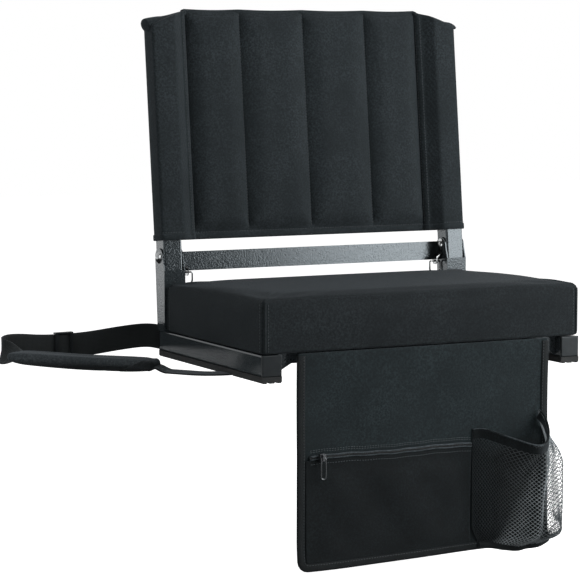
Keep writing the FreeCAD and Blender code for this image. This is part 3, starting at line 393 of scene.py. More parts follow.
def swell_cloth(piece, pinned, pressure, reach, slack=0.0, frames=20):
    """Blows the cloth out from its filling; pinned points are sewn down, and none moves past reach."""
    group = piece.vertex_groups.new(name="sewn")
    before = points_of(piece)
    group.add([int(i) for i in np.nonzero(pinned(before))[0]], 1.0, "REPLACE")
    cloth = piece.modifiers.new("cloth", "CLOTH")
    cloth.settings.quality = 6
    cloth.settings.mass = 0.2
    cloth.settings.use_pressure = True
    cloth.settings.uniform_pressure_force = pressure
    cloth.settings.effector_weights.gravity = 0
    cloth.settings.vertex_group_mass = group.name
    cloth.settings.shrink_min = -slack
    cloth.collision_settings.use_collision = False
    cloth.point_cache.frame_end = frames
    for number in range(1, frames + 1):
        scene.frame_set(number)
    make_active(piece)
    bpy.ops.object.modifier_apply(modifier=cloth.name)
    moved = points_of(piece) - before
    length = np.maximum(np.linalg.norm(moved, axis=1, keepdims=True), 1e-9)
    move_points(piece, before + moved * (reach * np.tanh(length / reach) / length))
    piece.vertex_groups.clear()
    scene.frame_set(1)


def dress(piece, finish, body):
    """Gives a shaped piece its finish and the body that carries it."""
    piece.data.materials.append(finish)
    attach(piece, body)


cushion_size = cushion_high - cushion_low - Vector((2 * cushion_slack, 2 * cushion_slack, cushion_crown))
cushion_middle = middle_of("cushion_cover")
cushion_middle.z = cushion_low.z + cushion_size.z / 2
cushion_top = cushion_low.z + cushion_size.z
cushion = add_block("seat_cushion", cushion_size, cushion_middle)
rounded_edges = ((lambda a, b: abs(a.z - b.z) > 0.01, corner_round, 4),
                 (lambda a, b: min(a.z, b.z) > cushion_top - 1e-4, top_edge_round, 5),
                 (lambda a, b: max(a.z, b.z) < cushion_low.z + 1e-4, 0.3 * top_edge_round, 2))
for chosen, offset, segments in rounded_edges:
    select_edges(cushion, chosen)
    bpy.ops.mesh.bevel(offset=offset, segments=segments, affect="EDGES")
remesh(cushion, cushion_grain)


def on_board(places):
    """Where the cover is stapled under the board, and where its upright corners are sewn."""
    below = places[:, 2] < cushion_low.z + staple_reach
    side = np.abs(np.abs(places[:, 0]) - cushion_size.x / 2) < seam_reach
    ends = np.abs(np.abs(places[:, 1] - cushion_middle.y) - cushion_size.y / 2) < seam_reach
    return below | (side & ends & (places[:, 2] < cushion_top - seam_stop))


swell_cloth(cushion, on_board, pressure=2.5, reach=0.0028)
refine(cushion)
shape = points_of(cushion)
forward = (cushion_middle.y - shape[:, 1]) / cushion_size.y
shape[:, 2] += cushion_tilt * forward * (shape[:, 2] - cushion_low.z) / cushion_size.z
move_points(cushion, shape)

weave, ends_in, ends_out = new_group("plain_weave", {"Pitch": 0.0009, "Mottle": 22.0},
                                     ["Threads", "Mottle", "Slub"])
spot = object_spot(weave)
turns = figure(weave, "DIVIDE", 2 * math.pi, ends_in["Pitch"])
axes = axes_of(weave, spot)
ripple = [figure(weave, "SINE", figure(weave, "MULTIPLY", axes[name], turns)) for name in "XYZ"]
crossings = figure(weave, "ADD", figure(weave, "MULTIPLY", ripple[0], ripple[2]),
                   figure(weave, "MULTIPLY", ripple[1], figure(weave, "ADD", ripple[0], ripple[2])))
weave.links.new(number_range(weave, crossings, -1.6, 1.6), ends_out["Threads"])
weave.links.new(noise(weave, spot, ends_in["Mottle"], 4)["Fac"], ends_out["Mottle"])
weave.links.new(noise(weave, spot, 420, 4, 0.7)["Fac"], ends_out["Slub"])
cool_sheen = (0.75, 0.85, 0.95, 1)


def black_cloth(name, dark, light, pitch=0.0009, depth=0.0002, sheen=0.08):
    """Woven polyester: threads in relief, cloudy patches of lighter nap and odd thicker yarns."""
    made, tree = new_finish(name, {"Specular IOR Level": 0.12, "Sheen Weight": sheen,
                                   "Sheen Roughness": 0.45, "Sheen Tint": cool_sheen})
    cloth = place_group(tree, weave, {"Pitch": pitch, "Mottle": 22})
    patch = number_range(tree, cloth["Mottle"], 0.3, 0.72, 0.3, 0.8)
    speck = figure(tree, "ADD", cloth["Threads"], number_range(tree, cloth["Slub"], 0.36, 0.64, -0.75, 0.75))
    nap = figure(tree, "MULTIPLY", patch, speck)
    relief = figure(tree, "ADD", cloth["Threads"], figure(tree, "MULTIPLY", cloth["Slub"], 0.7))
    set_surface(tree, blend_colours(tree, nap, dark, light),
                number_range(tree, cloth["Slub"], 0.35, 0.7, 0.78, 0.95), relief, depth, 0.6)
    return made


seat_cloth = black_cloth("seat_polyester", (0.0056, 0.0078, 0.0089, 1), (0.02, 0.0254, 0.0282, 1),
                         sheen=0.045)
dress(cushion, seat_cloth, "base")
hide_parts("cushion_cover", "seat_foam")


# Corner seams of the cushion: the two cloth edges are folded under and topstitched on both sides, which
# leaves a pair of ridges with a dark slit between them.
def surface_of(piece):
    bpy.context.view_layer.update()
    return BVHTree.FromObject(piece, bpy.context.evaluated_depsgraph_get())


def set_down(surface, point, facing, reach=0.05):
    """The surface's point and normal, met from outside against the facing direction."""
    hit = surface.ray_cast(point + facing * reach, -facing, 2 * reach)
    if hit[0] is None:
        hit = surface.find_nearest(point)
    return hit[0], hit[1]


def select_whole(piece):
    """Selects all of a piece, and leaves it in edit mode."""
    make_active(piece)
    bpy.ops.object.mode_set(mode="EDIT")
    bpy.ops.mesh.select_all(action="SELECT")


def cloth_grid(name, across, along, place):
    """A grid of cloth whose points are placed by their share of the way across and along."""
    deselect_all()
    bpy.ops.mesh.primitive_grid_add(x_subdivisions=across, y_subdivisions=along, size=2)
    piece = bpy.context.object
    piece.name = name
    for vertex in piece.data.vertices:
        vertex.co = place((vertex.co.x + 1) / 2, (vertex.co.y + 1) / 2)
    return piece


def way_along(line, k, closed=False):
    """The direction of a line of points at one of them."""
    if closed:
        return (line[(k + 1) % len(line)] - line[k - 1]).normalized()
    return (line[min(k + 1, len(line) - 1)] - line[max(k - 1, 0)]).normalized()


def sewn_strip(name, path, facings, section, finish, body, closed=False):
    """A strip of sewn cloth: the section, given as pairs across and out from the surface, follows the path.
    It faces one way all along, or has a facing for each point."""
    if isinstance(facings, Vector):
        facings = [facings] * len(path)
    steps = len(path) if closed else len(path) - 1
    sides = len(section)

    def place(u, v):
        i, j = round(u * steps) % len(path), round(v * sides) % sides
        across = way_along(path, i, closed).cross(facings[i]).normalized()
        return path[i] + across * section[j][0] + facings[i] * section[j][1]

    piece = cloth_grid(name, steps, sides, place)
    select_whole(piece)
    bpy.ops.mesh.remove_doubles(threshold=1e-6)
    bpy.ops.mesh.fill_holes(sides=0)
    bpy.ops.mesh.normals_make_consistent(inside=False)
    smooth(piece)
    dress(piece, finish, body)
    return piece


def even_points(points, step):
    """Points at an even step along a line of points."""
    line = np.array([tuple(p) for p in points])
    run = np.concatenate([[0], np.cumsum(np.linalg.norm(np.diff(line, axis=0), axis=1))])
    count = max(2, int(round(run[-1] / step)) + 1)
    marks = np.linspace(0, run[-1], count)
    return [Vector([np.interp(m, run, line[:, k]) for k in range(3)]) for m in marks]


def take_shape(size):
    """The points, at their size, and the faces of the primitive just added, which is then removed."""
    bpy.ops.object.transform_apply(rotation=True)
    piece = bpy.context.object
    points = points_of(piece) * np.array(size)
    faces = [list(face.vertices) for face in piece.data.polygons]
    bpy.data.objects.remove(piece)
    return points, faces


def repeat_shape(name, copies, faces):
    """One piece made of many copies of a small shape; copies holds the points of each."""
    count = len(copies[0])
    every = [[k * count + corner for corner in face] for k in range(len(copies)) for face in faces]
    mesh = bpy.data.meshes.new(name)
    mesh.from_pydata(np.concatenate(copies).tolist(), [], every)
    piece = bpy.data.objects.new(name, mesh)
    scene.collection.objects.link(piece)
    smooth(piece)
    return piece


thread, tree = new_finish("sewing_thread", {"Roughness": 0.5, "Specular IOR Level": 0.4})
twist = noise(tree, object_spot(tree), 1500)["Fac"]
set_surface(tree, blend_colours(tree, twist, (0.016, 0.022, 0.025, 1), (0.05, 0.064, 0.07, 1)),
            height=twist, depth=0.0001, strength=0.6)

stitch_pitch = 0.0036
stitch_size = (0.0027, 0.0007, 0.0006)
stitch_proud = 0.0001
deselect_all()
bpy.ops.mesh.primitive_uv_sphere_add(segments=6, ring_count=4, radius=0.5, rotation=(0, math.radians(90), 0))
stitch_points, stitch_faces = take_shape(stitch_size)


def sew(name, surface, rows, body):
    """Rows of stitches pressed into the surface; each row is a line of points and the way it faces."""
    stitches = []
    for line, facing in rows:
        marks = even_points(line, stitch_pitch)
        for here, there in zip(marks, marks[1:]):
            foot, out = set_down(surface, (here + there) / 2, facing)
            if out.dot(facing) < 0:
                out = -out
            way = (there - here).normalized()
            side = out.cross(way).normalized()
            turned = np.array([way, side, way.cross(side)])
            stitches.append(stitch_points @ turned + np.array(foot + out * stitch_proud))
    dress(repeat_shape(name, stitches, stitch_faces), thread, body)


cushion_skin = surface_of(cushion)
seam_half = [(-0.0032, -0.001), (-0.0028, 0.0002), (-0.0017, 0.0008), (-0.0006, 0.0004)]
seam_ridge = seam_half + [(0, -0.0007)] + [(-a, b) for a, b in reversed(seam_half)]
seam_rows = []
for corner_name, x_sign, y_sign in (("front_left", -1, -1), ("front_right", 1, -1),
                                    ("rear_left", -1, 1), ("rear_right", 1, 1)):
    facing = Vector((x_sign, y_sign, 0)).normalized()
    corner = Vector((x_sign * cushion_size.x / 2, cushion_middle.y + y_sign * cushion_size.y / 2, 0))
    heights = np.linspace(cushion_low.z + 0.002, cushion_top - seam_stop, 16)
    feet = [set_down(cushion_skin, corner + Vector((0, 0, z)), facing)[0] for z in heights]
    sewn_strip(f"corner_seam_{corner_name}", feet, facing, seam_ridge, seat_cloth, "base")
    for shift in (-0.0052, 0.0052):
        aside = Vector((-y_sign, x_sign, 0)).normalized() * shift
        seam_rows.append(([foot + aside for foot in feet], facing))
sew("corner_stitches", cushion_skin, seam_rows, "base")

# Back cover: one sewn shell with a sleeve over each back rail and, set back between them, a foam panel
# quilted into four upright channels.  Raised welts join it to the sleeves.
pivot = middle_of("pivot_rivet_left")
pivot.x = 0
rise = middle_of("back_plug_left") - pivot
recline = math.atan2(rise.y, rise.z)
on_back = Matrix.Translation(pivot) @ Matrix.Rotation(-recline, 4, "X")
upright = on_back.inverted()
cover_points = np.array([upright @ v.co for v in nodes["back_cover"].data.vertices])
cover_out, cover_deep, cover_top = cover_points.max(axis=0)
cover_bottom = cover_points[:, 2].min()
sleeve_inner = 0.1871
sleeve_top = 0.289
sleeve_corner = 0.0035
edge_seam = 0.166
mid_seam = 0.090
seam_back = 0.003
channel_swell = 0.0085
hem_height = 0.0072
welt_width = 0.0095
welt_rise = 0.0018
rear_sag = 0.0025
top_sag = 0.0011

seams = [-edge_seam, -mid_seam, 0.0, mid_seam, edge_seam]
channel_steps = 22
cloth_rows = 72


def half_section():
    """Half of the cover's front outline, from the middle seam to the sleeve's rear corner.  Each station
    is (x, y, across the channel from 0 to 1 or None, way out)."""
    stations = []
    for left, right in ((0.0, mid_seam), (mid_seam, edge_seam)):
        for k in range(channel_steps):
            share = 0.5 - 0.5 * math.cos(math.pi * k / channel_steps)
            stations.append((left + share * (right - left), seam_back, share, (0, -1)))
    slope = Vector((sleeve_inner - edge_seam, -cover_deep - seam_back))
    out = Vector((slope.y, -slope.x)).normalized()
    for share in (0, 0.04, 0.1, 0.18, 0.26, 0.32, 0.36, 0.5, 0.7, 0.88):
        along = share * slope.length
        ridge = 0.0
        if 0 < along < welt_width:
            ridge = welt_rise * min(1, math.sin(math.pi * along / welt_width) * 1.8)
        spot = Vector((edge_seam, seam_back)) + slope * share + out * ridge
        stations.append((spot.x, spot.y, None, tuple(out)))
    for share in np.linspace(0, 1, 8):
        bulge = 0.0006 * math.sin(math.pi * share)
        x = sleeve_inner + share * (cover_out - sleeve_corner - sleeve_inner)
        stations.append((x, -cover_deep - bulge, None, (0, -1)))
    for corner_y, start in ((-cover_deep + sleeve_corner, -90), (cover_deep - sleeve_corner, 0)):
        for turn in (22.5, 45, 67.5, 90):
            angle = math.radians(start + turn)
            way = (math.cos(angle), math.sin(angle))
            x = cover_out - sleeve_corner + sleeve_corner * way[0]
            stations.append((x, corner_y + sleeve_corner * way[1], None, way))
        if start < 0:
            for share in (0.2, 0.4, 0.6, 0.8):
                y = corner_y + share * 2 * (cover_deep - sleeve_corner)
                stations.append((cover_out + 0.0005 * math.sin(math.pi * share), y, None, (1, 0)))
    return stations


right_half = half_section()
left_half = [(-x, y, share, (-way[0], way[1])) for x, y, share, way in right_half[:0:-1]]
front_stations = left_half + right_half
last_station = len(front_stations) - 1


def top_edge(x):
    """Height of the cover's upper edge, which sags between the seams and slopes over the sleeves."""
    reach = abs(x)
    if reach > edge_seam:
        return cover_top - (cover_top - sleeve_top) * (reach - edge_seam) / (cover_out - edge_seam)
    inner, outer = (0.0, mid_seam) if reach < mid_seam else (mid_seam, edge_seam)
    return cover_top - top_sag * math.sin(math.pi * (reach - inner) / (outer - inner))


def ease(value, low, high):
    share = min(1, max(0, (value - low) / (high - low)))
    return share * share * (3 - 2 * share)


def front_point(i, v, swell):
    x, y, share, way = front_stations[i]
    top = top_edge(x)
    z = cover_bottom + v * (top - cover_bottom)
    if share is not None:
        profile = max(0, 1 - abs(2 * share - 1) ** 7)
        shown = ease(z, cover_bottom + hem_height, cover_bottom + hem_height + 0.016)
        shown *= 0.25 + 0.75 * ease(top - z, 0.002, 0.012)
        y -= swell * profile * shown
    return Vector((x, y, z))


def rear_point(i, v):
    x = -cover_out + sleeve_corner + (2 * cover_out - 2 * sleeve_corner) * i / last_station
    drawn = rear_sag * max(0, 1 - (abs(x) / sleeve_inner) ** 4)
    z = cover_bottom + v * (top_edge(x) - cover_bottom)
    return Vector((x, cover_deep - drawn, z))


start_swell = 0.85 * channel_swell


def cover_point(u, v, t=0.0, arch=0.0):
    """A point of the upright shell, from its front (t = 0) over the closing cloth to its rear (t = 1)."""
    i = round(u * last_station)
    here = front_point(i, v, start_swell).lerp(rear_point(i, v), t)
    here.z += arch * math.sin(math.pi * t)
    return here


back_panel = cloth_grid("back_cover_cloth", last_station, cloth_rows, cover_point)
others = [cloth_grid("rear", last_station, cloth_rows, lambda u, v: cover_point(u, v, 1)),
          cloth_grid("top", last_station, 3, lambda u, t: cover_point(u, 1, t, 0.0012)),
          cloth_grid("bottom", last_station, 3, lambda u, t: cover_point(u, 0, t, 0.001))]
make_active(back_panel)
for part in others:
    part.select_set(True)
bpy.ops.object.join()
select_whole(back_panel)
bpy.ops.mesh.remove_doubles(threshold=2e-5)
bpy.ops.mesh.normals_make_consistent(inside=False)
bpy.ops.object.mode_set(mode="OBJECT")


def sewn_down(places):
    """All of the cover but the fronts of its channels."""
    x, y, z = places.T
    near_seam = np.min(np.abs(x[:, None] - np.array(seams)), axis=1) < 0.0012
    tops = np.array([top_edge(v) for v in x])
    edges = (z < cover_bottom + hem_height + 0.002) | (z > tops - 0.0025)
    return near_seam | edges | (np.abs(x) > edge_seam) | (y > seam_back + 0.001)


swell_cloth(back_panel, sewn_down, pressure=4, reach=0.0018, slack=0.003)
refine(back_panel)
back_panel.data.transform(on_back)
back_cloth = black_cloth("back_polyester", (0.0084, 0.0118, 0.0132, 1), (0.027, 0.034, 0.0385, 1))
dress(back_panel, back_cloth, "back")
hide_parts("back_cover", "back_foam")

# Hem and edge roll of the back: the lower edge is turned up and stitched all round, and the upper edge
# of the panel is rolled into a narrow bound edge.
hem_middle = 0.0036
hem_section = [(-0.0037, -0.001), (-0.0039, 0.0004), (-0.003, 0.0011),
               (0.003, 0.0011), (0.0039, 0.0004), (0.0037, -0.001)]


def on_back_way(x, y, z=0.0):
    return (on_back.to_3x3() @ Vector((x, y, z))).normalized()


def oval(wide, tall, count):
    return [(wide * math.cos(a), tall * math.sin(a)) for a in np.linspace(0, 2 * math.pi, count + 1)[:-1]]


rear_path = [rear_point(i, 0) for i in range(last_station - 1, 0, -4)]
hem_path = [front_point(i, 0, 0) for i in range(last_station + 1)] + rear_path
hem_path = [on_back @ (p + Vector((0, 0, hem_middle))) for p in hem_path]
hem_facing = [on_back_way(*way) for x, y, share, way in front_stations]
hem_facing += [on_back_way(0, 1)] * len(rear_path)
sewn_strip("back_hem", hem_path, hem_facing, hem_section, back_cloth, "back", closed=True)

roll_path = []
for x in np.linspace(-edge_seam - 0.004, edge_seam + 0.004, 84):
    roll_path.append(on_back @ Vector((x, seam_back + 0.0004, top_edge(x) - 0.0012)))
sewn_strip("back_top_roll", roll_path, on_back_way(0, 0, 1), oval(0.0021, 0.0026, 8), back_cloth, "back")

back_rows = []


def back_row(start, end, way):
    """A row of stitches between two points of the upright cover."""
    back_rows.append(([on_back @ Vector(start), on_back @ Vector(end)], on_back_way(*way)))


for x in seams[1:-1]:
    back_row((x, seam_back, cover_bottom + 0.012), (x, seam_back, cover_top - 0.004), (0, -1))
hem_row = cover_bottom + hem_height
slope = Vector((sleeve_inner - edge_seam, -cover_deep - seam_back, 0))
for sign in (-1, 1):
    for along in (0.0015, welt_width - 0.0015):
        spot = slope.normalized() * along
        x, y = sign * (edge_seam + spot.x), seam_back + spot.y
        back_row((x, y, cover_bottom + 0.011), (x, y, cover_top - 0.008),
                 (sign * slope.y / slope.length, -slope.x / slope.length))
    sleeve_row = (-cover_deep, hem_row + 0.0016)
    back_row((sign * sleeve_inner, *sleeve_row), (sign * cover_out, *sleeve_row), (0, -1))
back_row((-edge_seam, seam_back, hem_row + 0.0012), (edge_seam, seam_back, hem_row + 0.0012), (0, -1))
sew("back_stitches", surface_of(back_panel), back_rows, "back")

# Shoulder hems: at the top of each sleeve the cloth is gathered flat, turned over and sewn, which leaves
# a thick roll that slopes down and sticks out past the sleeve.
hem_steps = 24
hem_half = 0.0115
hem_shapes = (("left", -1, 0.0094, 0.05, 0.0065), ("right", 1, 0.005, 0.2, 0.010))
for side, sign, thick, blunt, hem_over in hem_shapes:
    inner_end = Vector((sign * (edge_seam - 0.002), seam_back - 0.001, cover_top - 0.003))
    outer_end = Vector((sign * (cover_out + hem_over), 0.0, sleeve_top - 0.002))
    path = []
    for share in np.linspace(0, 1, hem_steps):
        here = inner_end.lerp(outer_end, share)
        here.z -= 0.0018 * math.sin(math.pi * share) - 0.0007 * math.sin(9 * share)
        path.append(on_back @ here)
    up = on_back.to_3x3() @ Vector((sign * 0.36, 0, 0.93))
    hem = sewn_strip(f"shoulder_hem_{side}", path, up, oval(hem_half, thick, 16), back_cloth, "back")
    bent = []
    for vertex in hem.data.vertices:
        k = min(range(hem_steps), key=lambda j: (path[j] - vertex.co).length_squared)
        share = k / (hem_steps - 1)
        full = (0.3 + 0.7 * ease(share, 0, 0.75)) * math.sqrt(min(1, max(0.04, (1.0 - share) / blunt)))
        bent.append(path[k] + (vertex.co - path[k]) * full)
    move_points(hem, bent)
    refine(hem)

# Accessory flap: a double panel of the same cloth that hangs from the front bar, bound with a folded
# ribbon on three edges.  The weight of the pockets pulls it into shallow waves, stilled by the zip.
panel_low, panel_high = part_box("flap_panel")
flap_left, flap_right = panel_low.x, panel_high.x
flap_top, flap_bottom = panel_high.z, panel_low.z
flap_wide, flap_tall = flap_right - flap_left, flap_top - flap_bottom
flap_y = (panel_low.y + panel_high.y) / 2
flap_thick = 0.0022
zip_level = middle_of("zip_slider").z
edge_corner = 0.012
corner_left, corner_right = flap_left + edge_corner, flap_right - edge_corner
corner_low = flap_bottom + edge_corner
skew = 0.005
ahead, behind = Vector((0, -1, 0)), Vector((0, 1, 0))


def settle(x, z):
    """Where a point of the flat cut comes to hang, in waves and with the flap's right side drawn up."""
    down = (flap_top - z) / flap_tall
    over = (x - flap_left) / flap_wide
    wave = 0.0011 * math.sin(7.5 * over + 2.6 * down) + 0.0008 * math.sin(15 * over - 4 * down + 1)
    curl = -0.0025 * ease(down, 0.86, 1.0) * (0.4 + 0.6 * abs(2 * over - 1))
    quiet = 1 - 0.96 * math.exp(-((z - zip_level) / 0.02) ** 2)
    hang = (wave * ease(down, 0, 0.22) + curl) * quiet
    return Vector((x, flap_y + hang, z + skew * down ** 2 * ease(over, 0.05, 0.85)))


def flap_point(u, v):
    x = flap_left + u * flap_wide
    z = flap_top - v * flap_tall
    centre_x = min(max(x, corner_left), corner_right)
    centre_z = max(z, corner_low)
    over = math.hypot(x - centre_x, z - centre_z)
    if z < centre_z and over > edge_corner:
        x = centre_x + (x - centre_x) * edge_corner / over
        z = centre_z + (z - centre_z) * edge_corner / over
    return settle(x, z)


flap = cloth_grid("flap_cloth", 86, 64, flap_point)
apply_modifier(flap, "SOLIDIFY", thickness=flap_thick, offset=0)
refine(flap)
flap_cloth = black_cloth("flap_polyester", (0.0058, 0.0092, 0.0104, 1), (0.0195, 0.0285, 0.0315, 1),
                         depth=0.00022)
dress(flap, flap_cloth, "flap")

quarter = (22.5, 45, 67.5, 90)
ribbon_end = flap_top - 0.003


def corner_turn(x, start, turns):
    angles = [math.radians(start + turn) for turn in turns]
    return [(x + edge_corner * math.cos(a), corner_low + edge_corner * math.sin(a)) for a in angles]


edge_cut = [(flap_left, ribbon_end)]
edge_cut += [(flap_left, z) for z in np.linspace(flap_top - 0.012, corner_low, 30)]
edge_cut += corner_turn(corner_left, 180, quarter)
edge_cut += [(x, flap_bottom) for x in np.linspace(corner_left + 0.008, corner_right - 0.008, 38)]
edge_cut += corner_turn(corner_right, 270, (0, *quarter))
edge_cut += [(flap_right, z) for z in np.linspace(corner_low + 0.008, ribbon_end, 30)]
edge_line = [settle(x, z) for x, z in edge_cut]
ribbon_half = 0.0021
ribbon_section = [(0.0009, 0), (0.0006, -0.0014), (-0.0004, -ribbon_half), (-0.0085, -ribbon_half),
                  (-0.0091, -0.0016), (-0.0091, 0.0016), (-0.0085, ribbon_half), (-0.0004, ribbon_half),
                  (0.0006, 0.0014)]

rib_pitch = 0.0011
ribbon_cloth, tree = new_finish("grosgrain_ribbon", {"Specular IOR Level": 0.12, "Sheen Weight": 0.06,
                                                     "Sheen Roughness": 0.4, "Sheen Tint": cool_sheen})
axes = axes_of(tree, object_spot(tree))
both = figure(tree, "ADD", axes["X"], axes["Z"])
ridged = figure(tree, "SINE", figure(tree, "MULTIPLY", both, 2 * math.pi / rib_pitch))
ribs = number_range(tree, ridged, -1, 1)
cloth = place_group(tree, weave, {"Pitch": 0.0006, "Mottle": 40})
set_surface(tree, blend_colours(tree, figure(tree, "MULTIPLY", ribs, cloth["Mottle"]),
                                (0.0046, 0.006, 0.0066, 1), (0.0155, 0.0195, 0.021, 1)),
            number_range(tree, ribs, 0, 1, 0.85, 0.6), ribs, 0.00025, 0.6)
binding = sewn_strip("flap_ribbon", edge_line, ahead, ribbon_section, ribbon_cloth, "flap")
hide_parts("flap_panel")
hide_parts("flap_binding")

seam_inset = 0.0072
inset_line = [spot - way_along(edge_line, k).cross(ahead) * seam_inset for k, spot in enumerate(edge_line)]
sew("ribbon_stitches", surface_of(binding), [(inset_line, ahead), (inset_line, behind)], "flap")

# Zip: two turned lips of cloth with a nylon coil between them, sewn across the flap above its pocket.
# The tape wavers a little between its stitches.
tape_low, tape_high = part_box("zip_tape")
zip_left, zip_right = tape_low.x, tape_high.x
lip_section = [(-0.0026, 0.0008), (-0.0026, -0.0008), (-0.0021, -0.0019), (-0.0014, -0.0021),
               (-0.0009, -0.0014), (-0.0008, 0.0008)]
coil_pitch = 0.0013


def zip_line(rise, forward):
    """A line along the zip with the slight waver of a sewn-in tape."""
    line = []
    for x in np.linspace(zip_left, zip_right, 90):
        waver = 0.0007 * math.sin(46 * x + 0.6) + 0.0003 * math.sin(170 * x)
        line.append(Vector((x, tape_high.y - forward, zip_level + rise + waver)))
    return line


# The zip's lips get a cloth much paler than the rest, a painted highlight along their ridges; the bottle
# band's rim wears it too.
highlight_lip_cloth = black_cloth("zip_tape_cloth", (0.018, 0.0235, 0.026, 1), (0.075, 0.09, 0.098, 1), pitch=0.0007)
lip_line = zip_line(0, 0.0006)
for name, flip in (("upper", 1), ("lower", -1)):
    section = [(a * flip, -b) for a, b in lip_section]
    sewn_strip(f"zip_lip_{name}", lip_line, ahead, section, highlight_lip_cloth, "flap")
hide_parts("zip_tape")

deselect_all()
bpy.ops.mesh.primitive_torus_add(major_radius=0.0012, minor_radius=0.00036, major_segments=8,
                                 minor_segments=5, rotation=(0, math.radians(78), 0))
turn_points, turn_faces = take_shape((1, 0.6, 1.1))
coil_turns = [turn_points + np.array(spot) for spot in even_points(zip_line(0, 0.0013), coil_pitch)]
nylon = worn_finish("black_nylon", {"Specular IOR Level": 0.5}, size=300, amount=0.6,
                    tones=[(0.01, 0.011, 0.012, 1), (0.03, 0.032, 0.034, 1)], rough=(0.25, 0.4))
dress(repeat_shape("zip_coil", coil_turns, turn_faces), nylon, "flap")

# Zip pocket: a second layer of cloth on the lower half of the flap, a little full, so that it stands off
# the panel in soft hollows between its sewn edges.
pocket_low, pocket_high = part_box("zip_pocket")
pocket_wide = pocket_high.x - pocket_low.x
pocket_tall = pocket_high.z - pocket_low.z
zip_turn_in = 0.004
pocket_swell = 0.0042
pocket_thick = 0.0009


def pocket_point(u, v):
    x = pocket_low.x + u * pocket_wide
    z = pocket_high.z - v * pocket_tall + (1 - v) * zip_turn_in
    full = ease(u, 0, 0.2) * ease(1 - u, 0, 0.16) * ease(v, 0.09, 0.24) * ease(1 - v, 0, 0.14)
    soft = 0.55 + 0.3 * math.sin(9 * u + 5 * v) * math.sin(4 * v + 1.2) + 0.16 * math.sin(19 * u - 7 * v)
    return settle(x, z) - Vector((0, flap_thick / 2 + 0.0006 + pocket_swell * full * soft, 0))


zip_pocket = cloth_grid("zip_pocket_cloth", 70, 46, pocket_point)
apply_modifier(zip_pocket, "SOLIDIFY", thickness=pocket_thick, offset=-1)
refine(zip_pocket)
pocket_cloth = black_cloth("pocket_polyester", (0.003, 0.0042, 0.0046, 1), (0.0105, 0.0145, 0.016, 1),
                           depth=0.00022)
dress(zip_pocket, pocket_cloth, "flap")
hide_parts("zip_pocket")
sew("zip_stitches", surface_of(flap), [(zip_line(0.0085, 0), ahead), (zip_line(0.0064, 0), ahead)], "flap")
sew("pocket_stitches", surface_of(zip_pocket), [(zip_line(-0.0075, 0), ahead)], "flap")

# Bottle pocket: diamond net on the flap's right, gathered below and held open by an elastic band.  It
# bulges forward and past the flap's edge, and hangs in slanting folds, with a highlight painted pale on the
# threads over the largest.
net_low, net_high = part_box("mesh_pocket")
pouch_back = net_high.y
pouch_left = flap_right - 0.107
pouch_wide = flap_right - pouch_left
pouch_deep = pouch_back - net_low.y
pouch_top = flap_top - 0.106
pouch_bottom = flap_bottom + 0.0015
mouth_plan = [(0, 0, 0), (0.13, -0.1, 0), (0.33, -0.44, -0.008), (0.565, -0.96, -0.017),
              (0.74, -0.86, -0.016), (0.85, -0.55, -0.006), (0.89, -0.2, 0.010), (0.87, 0, 0.018)]
body_plan = [(0, 0, 0), (0.14, -0.16, 0), (0.32, -0.28, 0), (0.5, -0.68, 0), (0.72, -0.98, 0),
             (0.965, -0.72, 0), (1.0, -0.3, 0), (0.98, 0, 0)]
net_folds = [(0.14, 0.08, 0.0022, 0.05), (0.36, 0.22, 0.0050, 0.05), (0.52, 0.36, -0.0090, 0.06),
             (0.60, 0.47, 0.0055, 0.04), (0.69, 0.53, -0.0085, 0.045), (0.79, 0.62, 0.0075, 0.045)]
net_thread = 0.00105
fold_lean = 0.395
fold_line = 0.188


def smooth_line(points, t):
    """A smooth line through plan points, at a share t of the way along."""
    last = len(points) - 1
    k = min(int(t * last), last - 1)
    f = t * last - k
    p = [np.array(points[min(max(k + j, 0), last)]) for j in (-1, 0, 1, 2)]
    return 0.5 * (2 * p[1] + (p[2] - p[0]) * f + (2 * p[0] - 5 * p[1] + 4 * p[2] - p[3]) * f ** 2
                  + (3 * p[1] - p[0] - 3 * p[2] + p[3]) * f ** 3)


def pouch_plan(u, v):
    """Place across and depth of the net, from the held mouth to the fuller body."""
    body = ease(v, 0.0, 0.3)
    return (smooth_line(mouth_plan, u) * (1 - body) + smooth_line(body_plan, u) * body)[:2]


def pouch_point(u, v, out=0.0):
    """A point of the net, from its mouth (v = 0) to its gathered foot (v = 1), and out from it."""
    across, deep = pouch_plan(u, v)
    step = pouch_plan(min(u + 0.01, 1), v) - pouch_plan(max(u - 0.01, 0), v)
    way = Vector((step[1] * pouch_deep, -step[0] * pouch_wide, 0)).normalized()
    gather = ease(v, 0.8, 1.0)
    full = (1 - 0.9 * gather ** 1.5) * (1 + 0.06 * math.sin(7 * v + 2))
    inner = math.sin(math.pi * u) * ease(v, 0.03, 0.2) * (1 - 0.6 * gather)
    crease = sum(h * math.exp(-((u - top - (foot - top) * v) / w) ** 2) for top, foot, h, w in net_folds)
    x = pouch_left + pouch_wide * (across + gather * (0.1 * (0.5 - across) + 0.04))
    x += 0.006 * math.exp(-((v - 0.87) / 0.07) ** 2) * ease(u, 0.55, 0.85) * ease(1 - u, 0, 0.1)
    mouth = pouch_top + smooth_line(mouth_plan, u)[2]
    low = pouch_bottom + 0.0055 * (1 - ease(u, 0.16, 0.42)) + 0.008 * ease(u, 0.55, 0.9)
    low -= 0.0025 * math.sin(math.pi * min(1, 1.6 * u))
    z = mouth + v * (low - mouth)
    return Vector((x, pouch_back + deep * pouch_deep * full, z)) + way * (crease * inner + out)


net = cloth_grid("bottle_net", 68, 56, pouch_point)


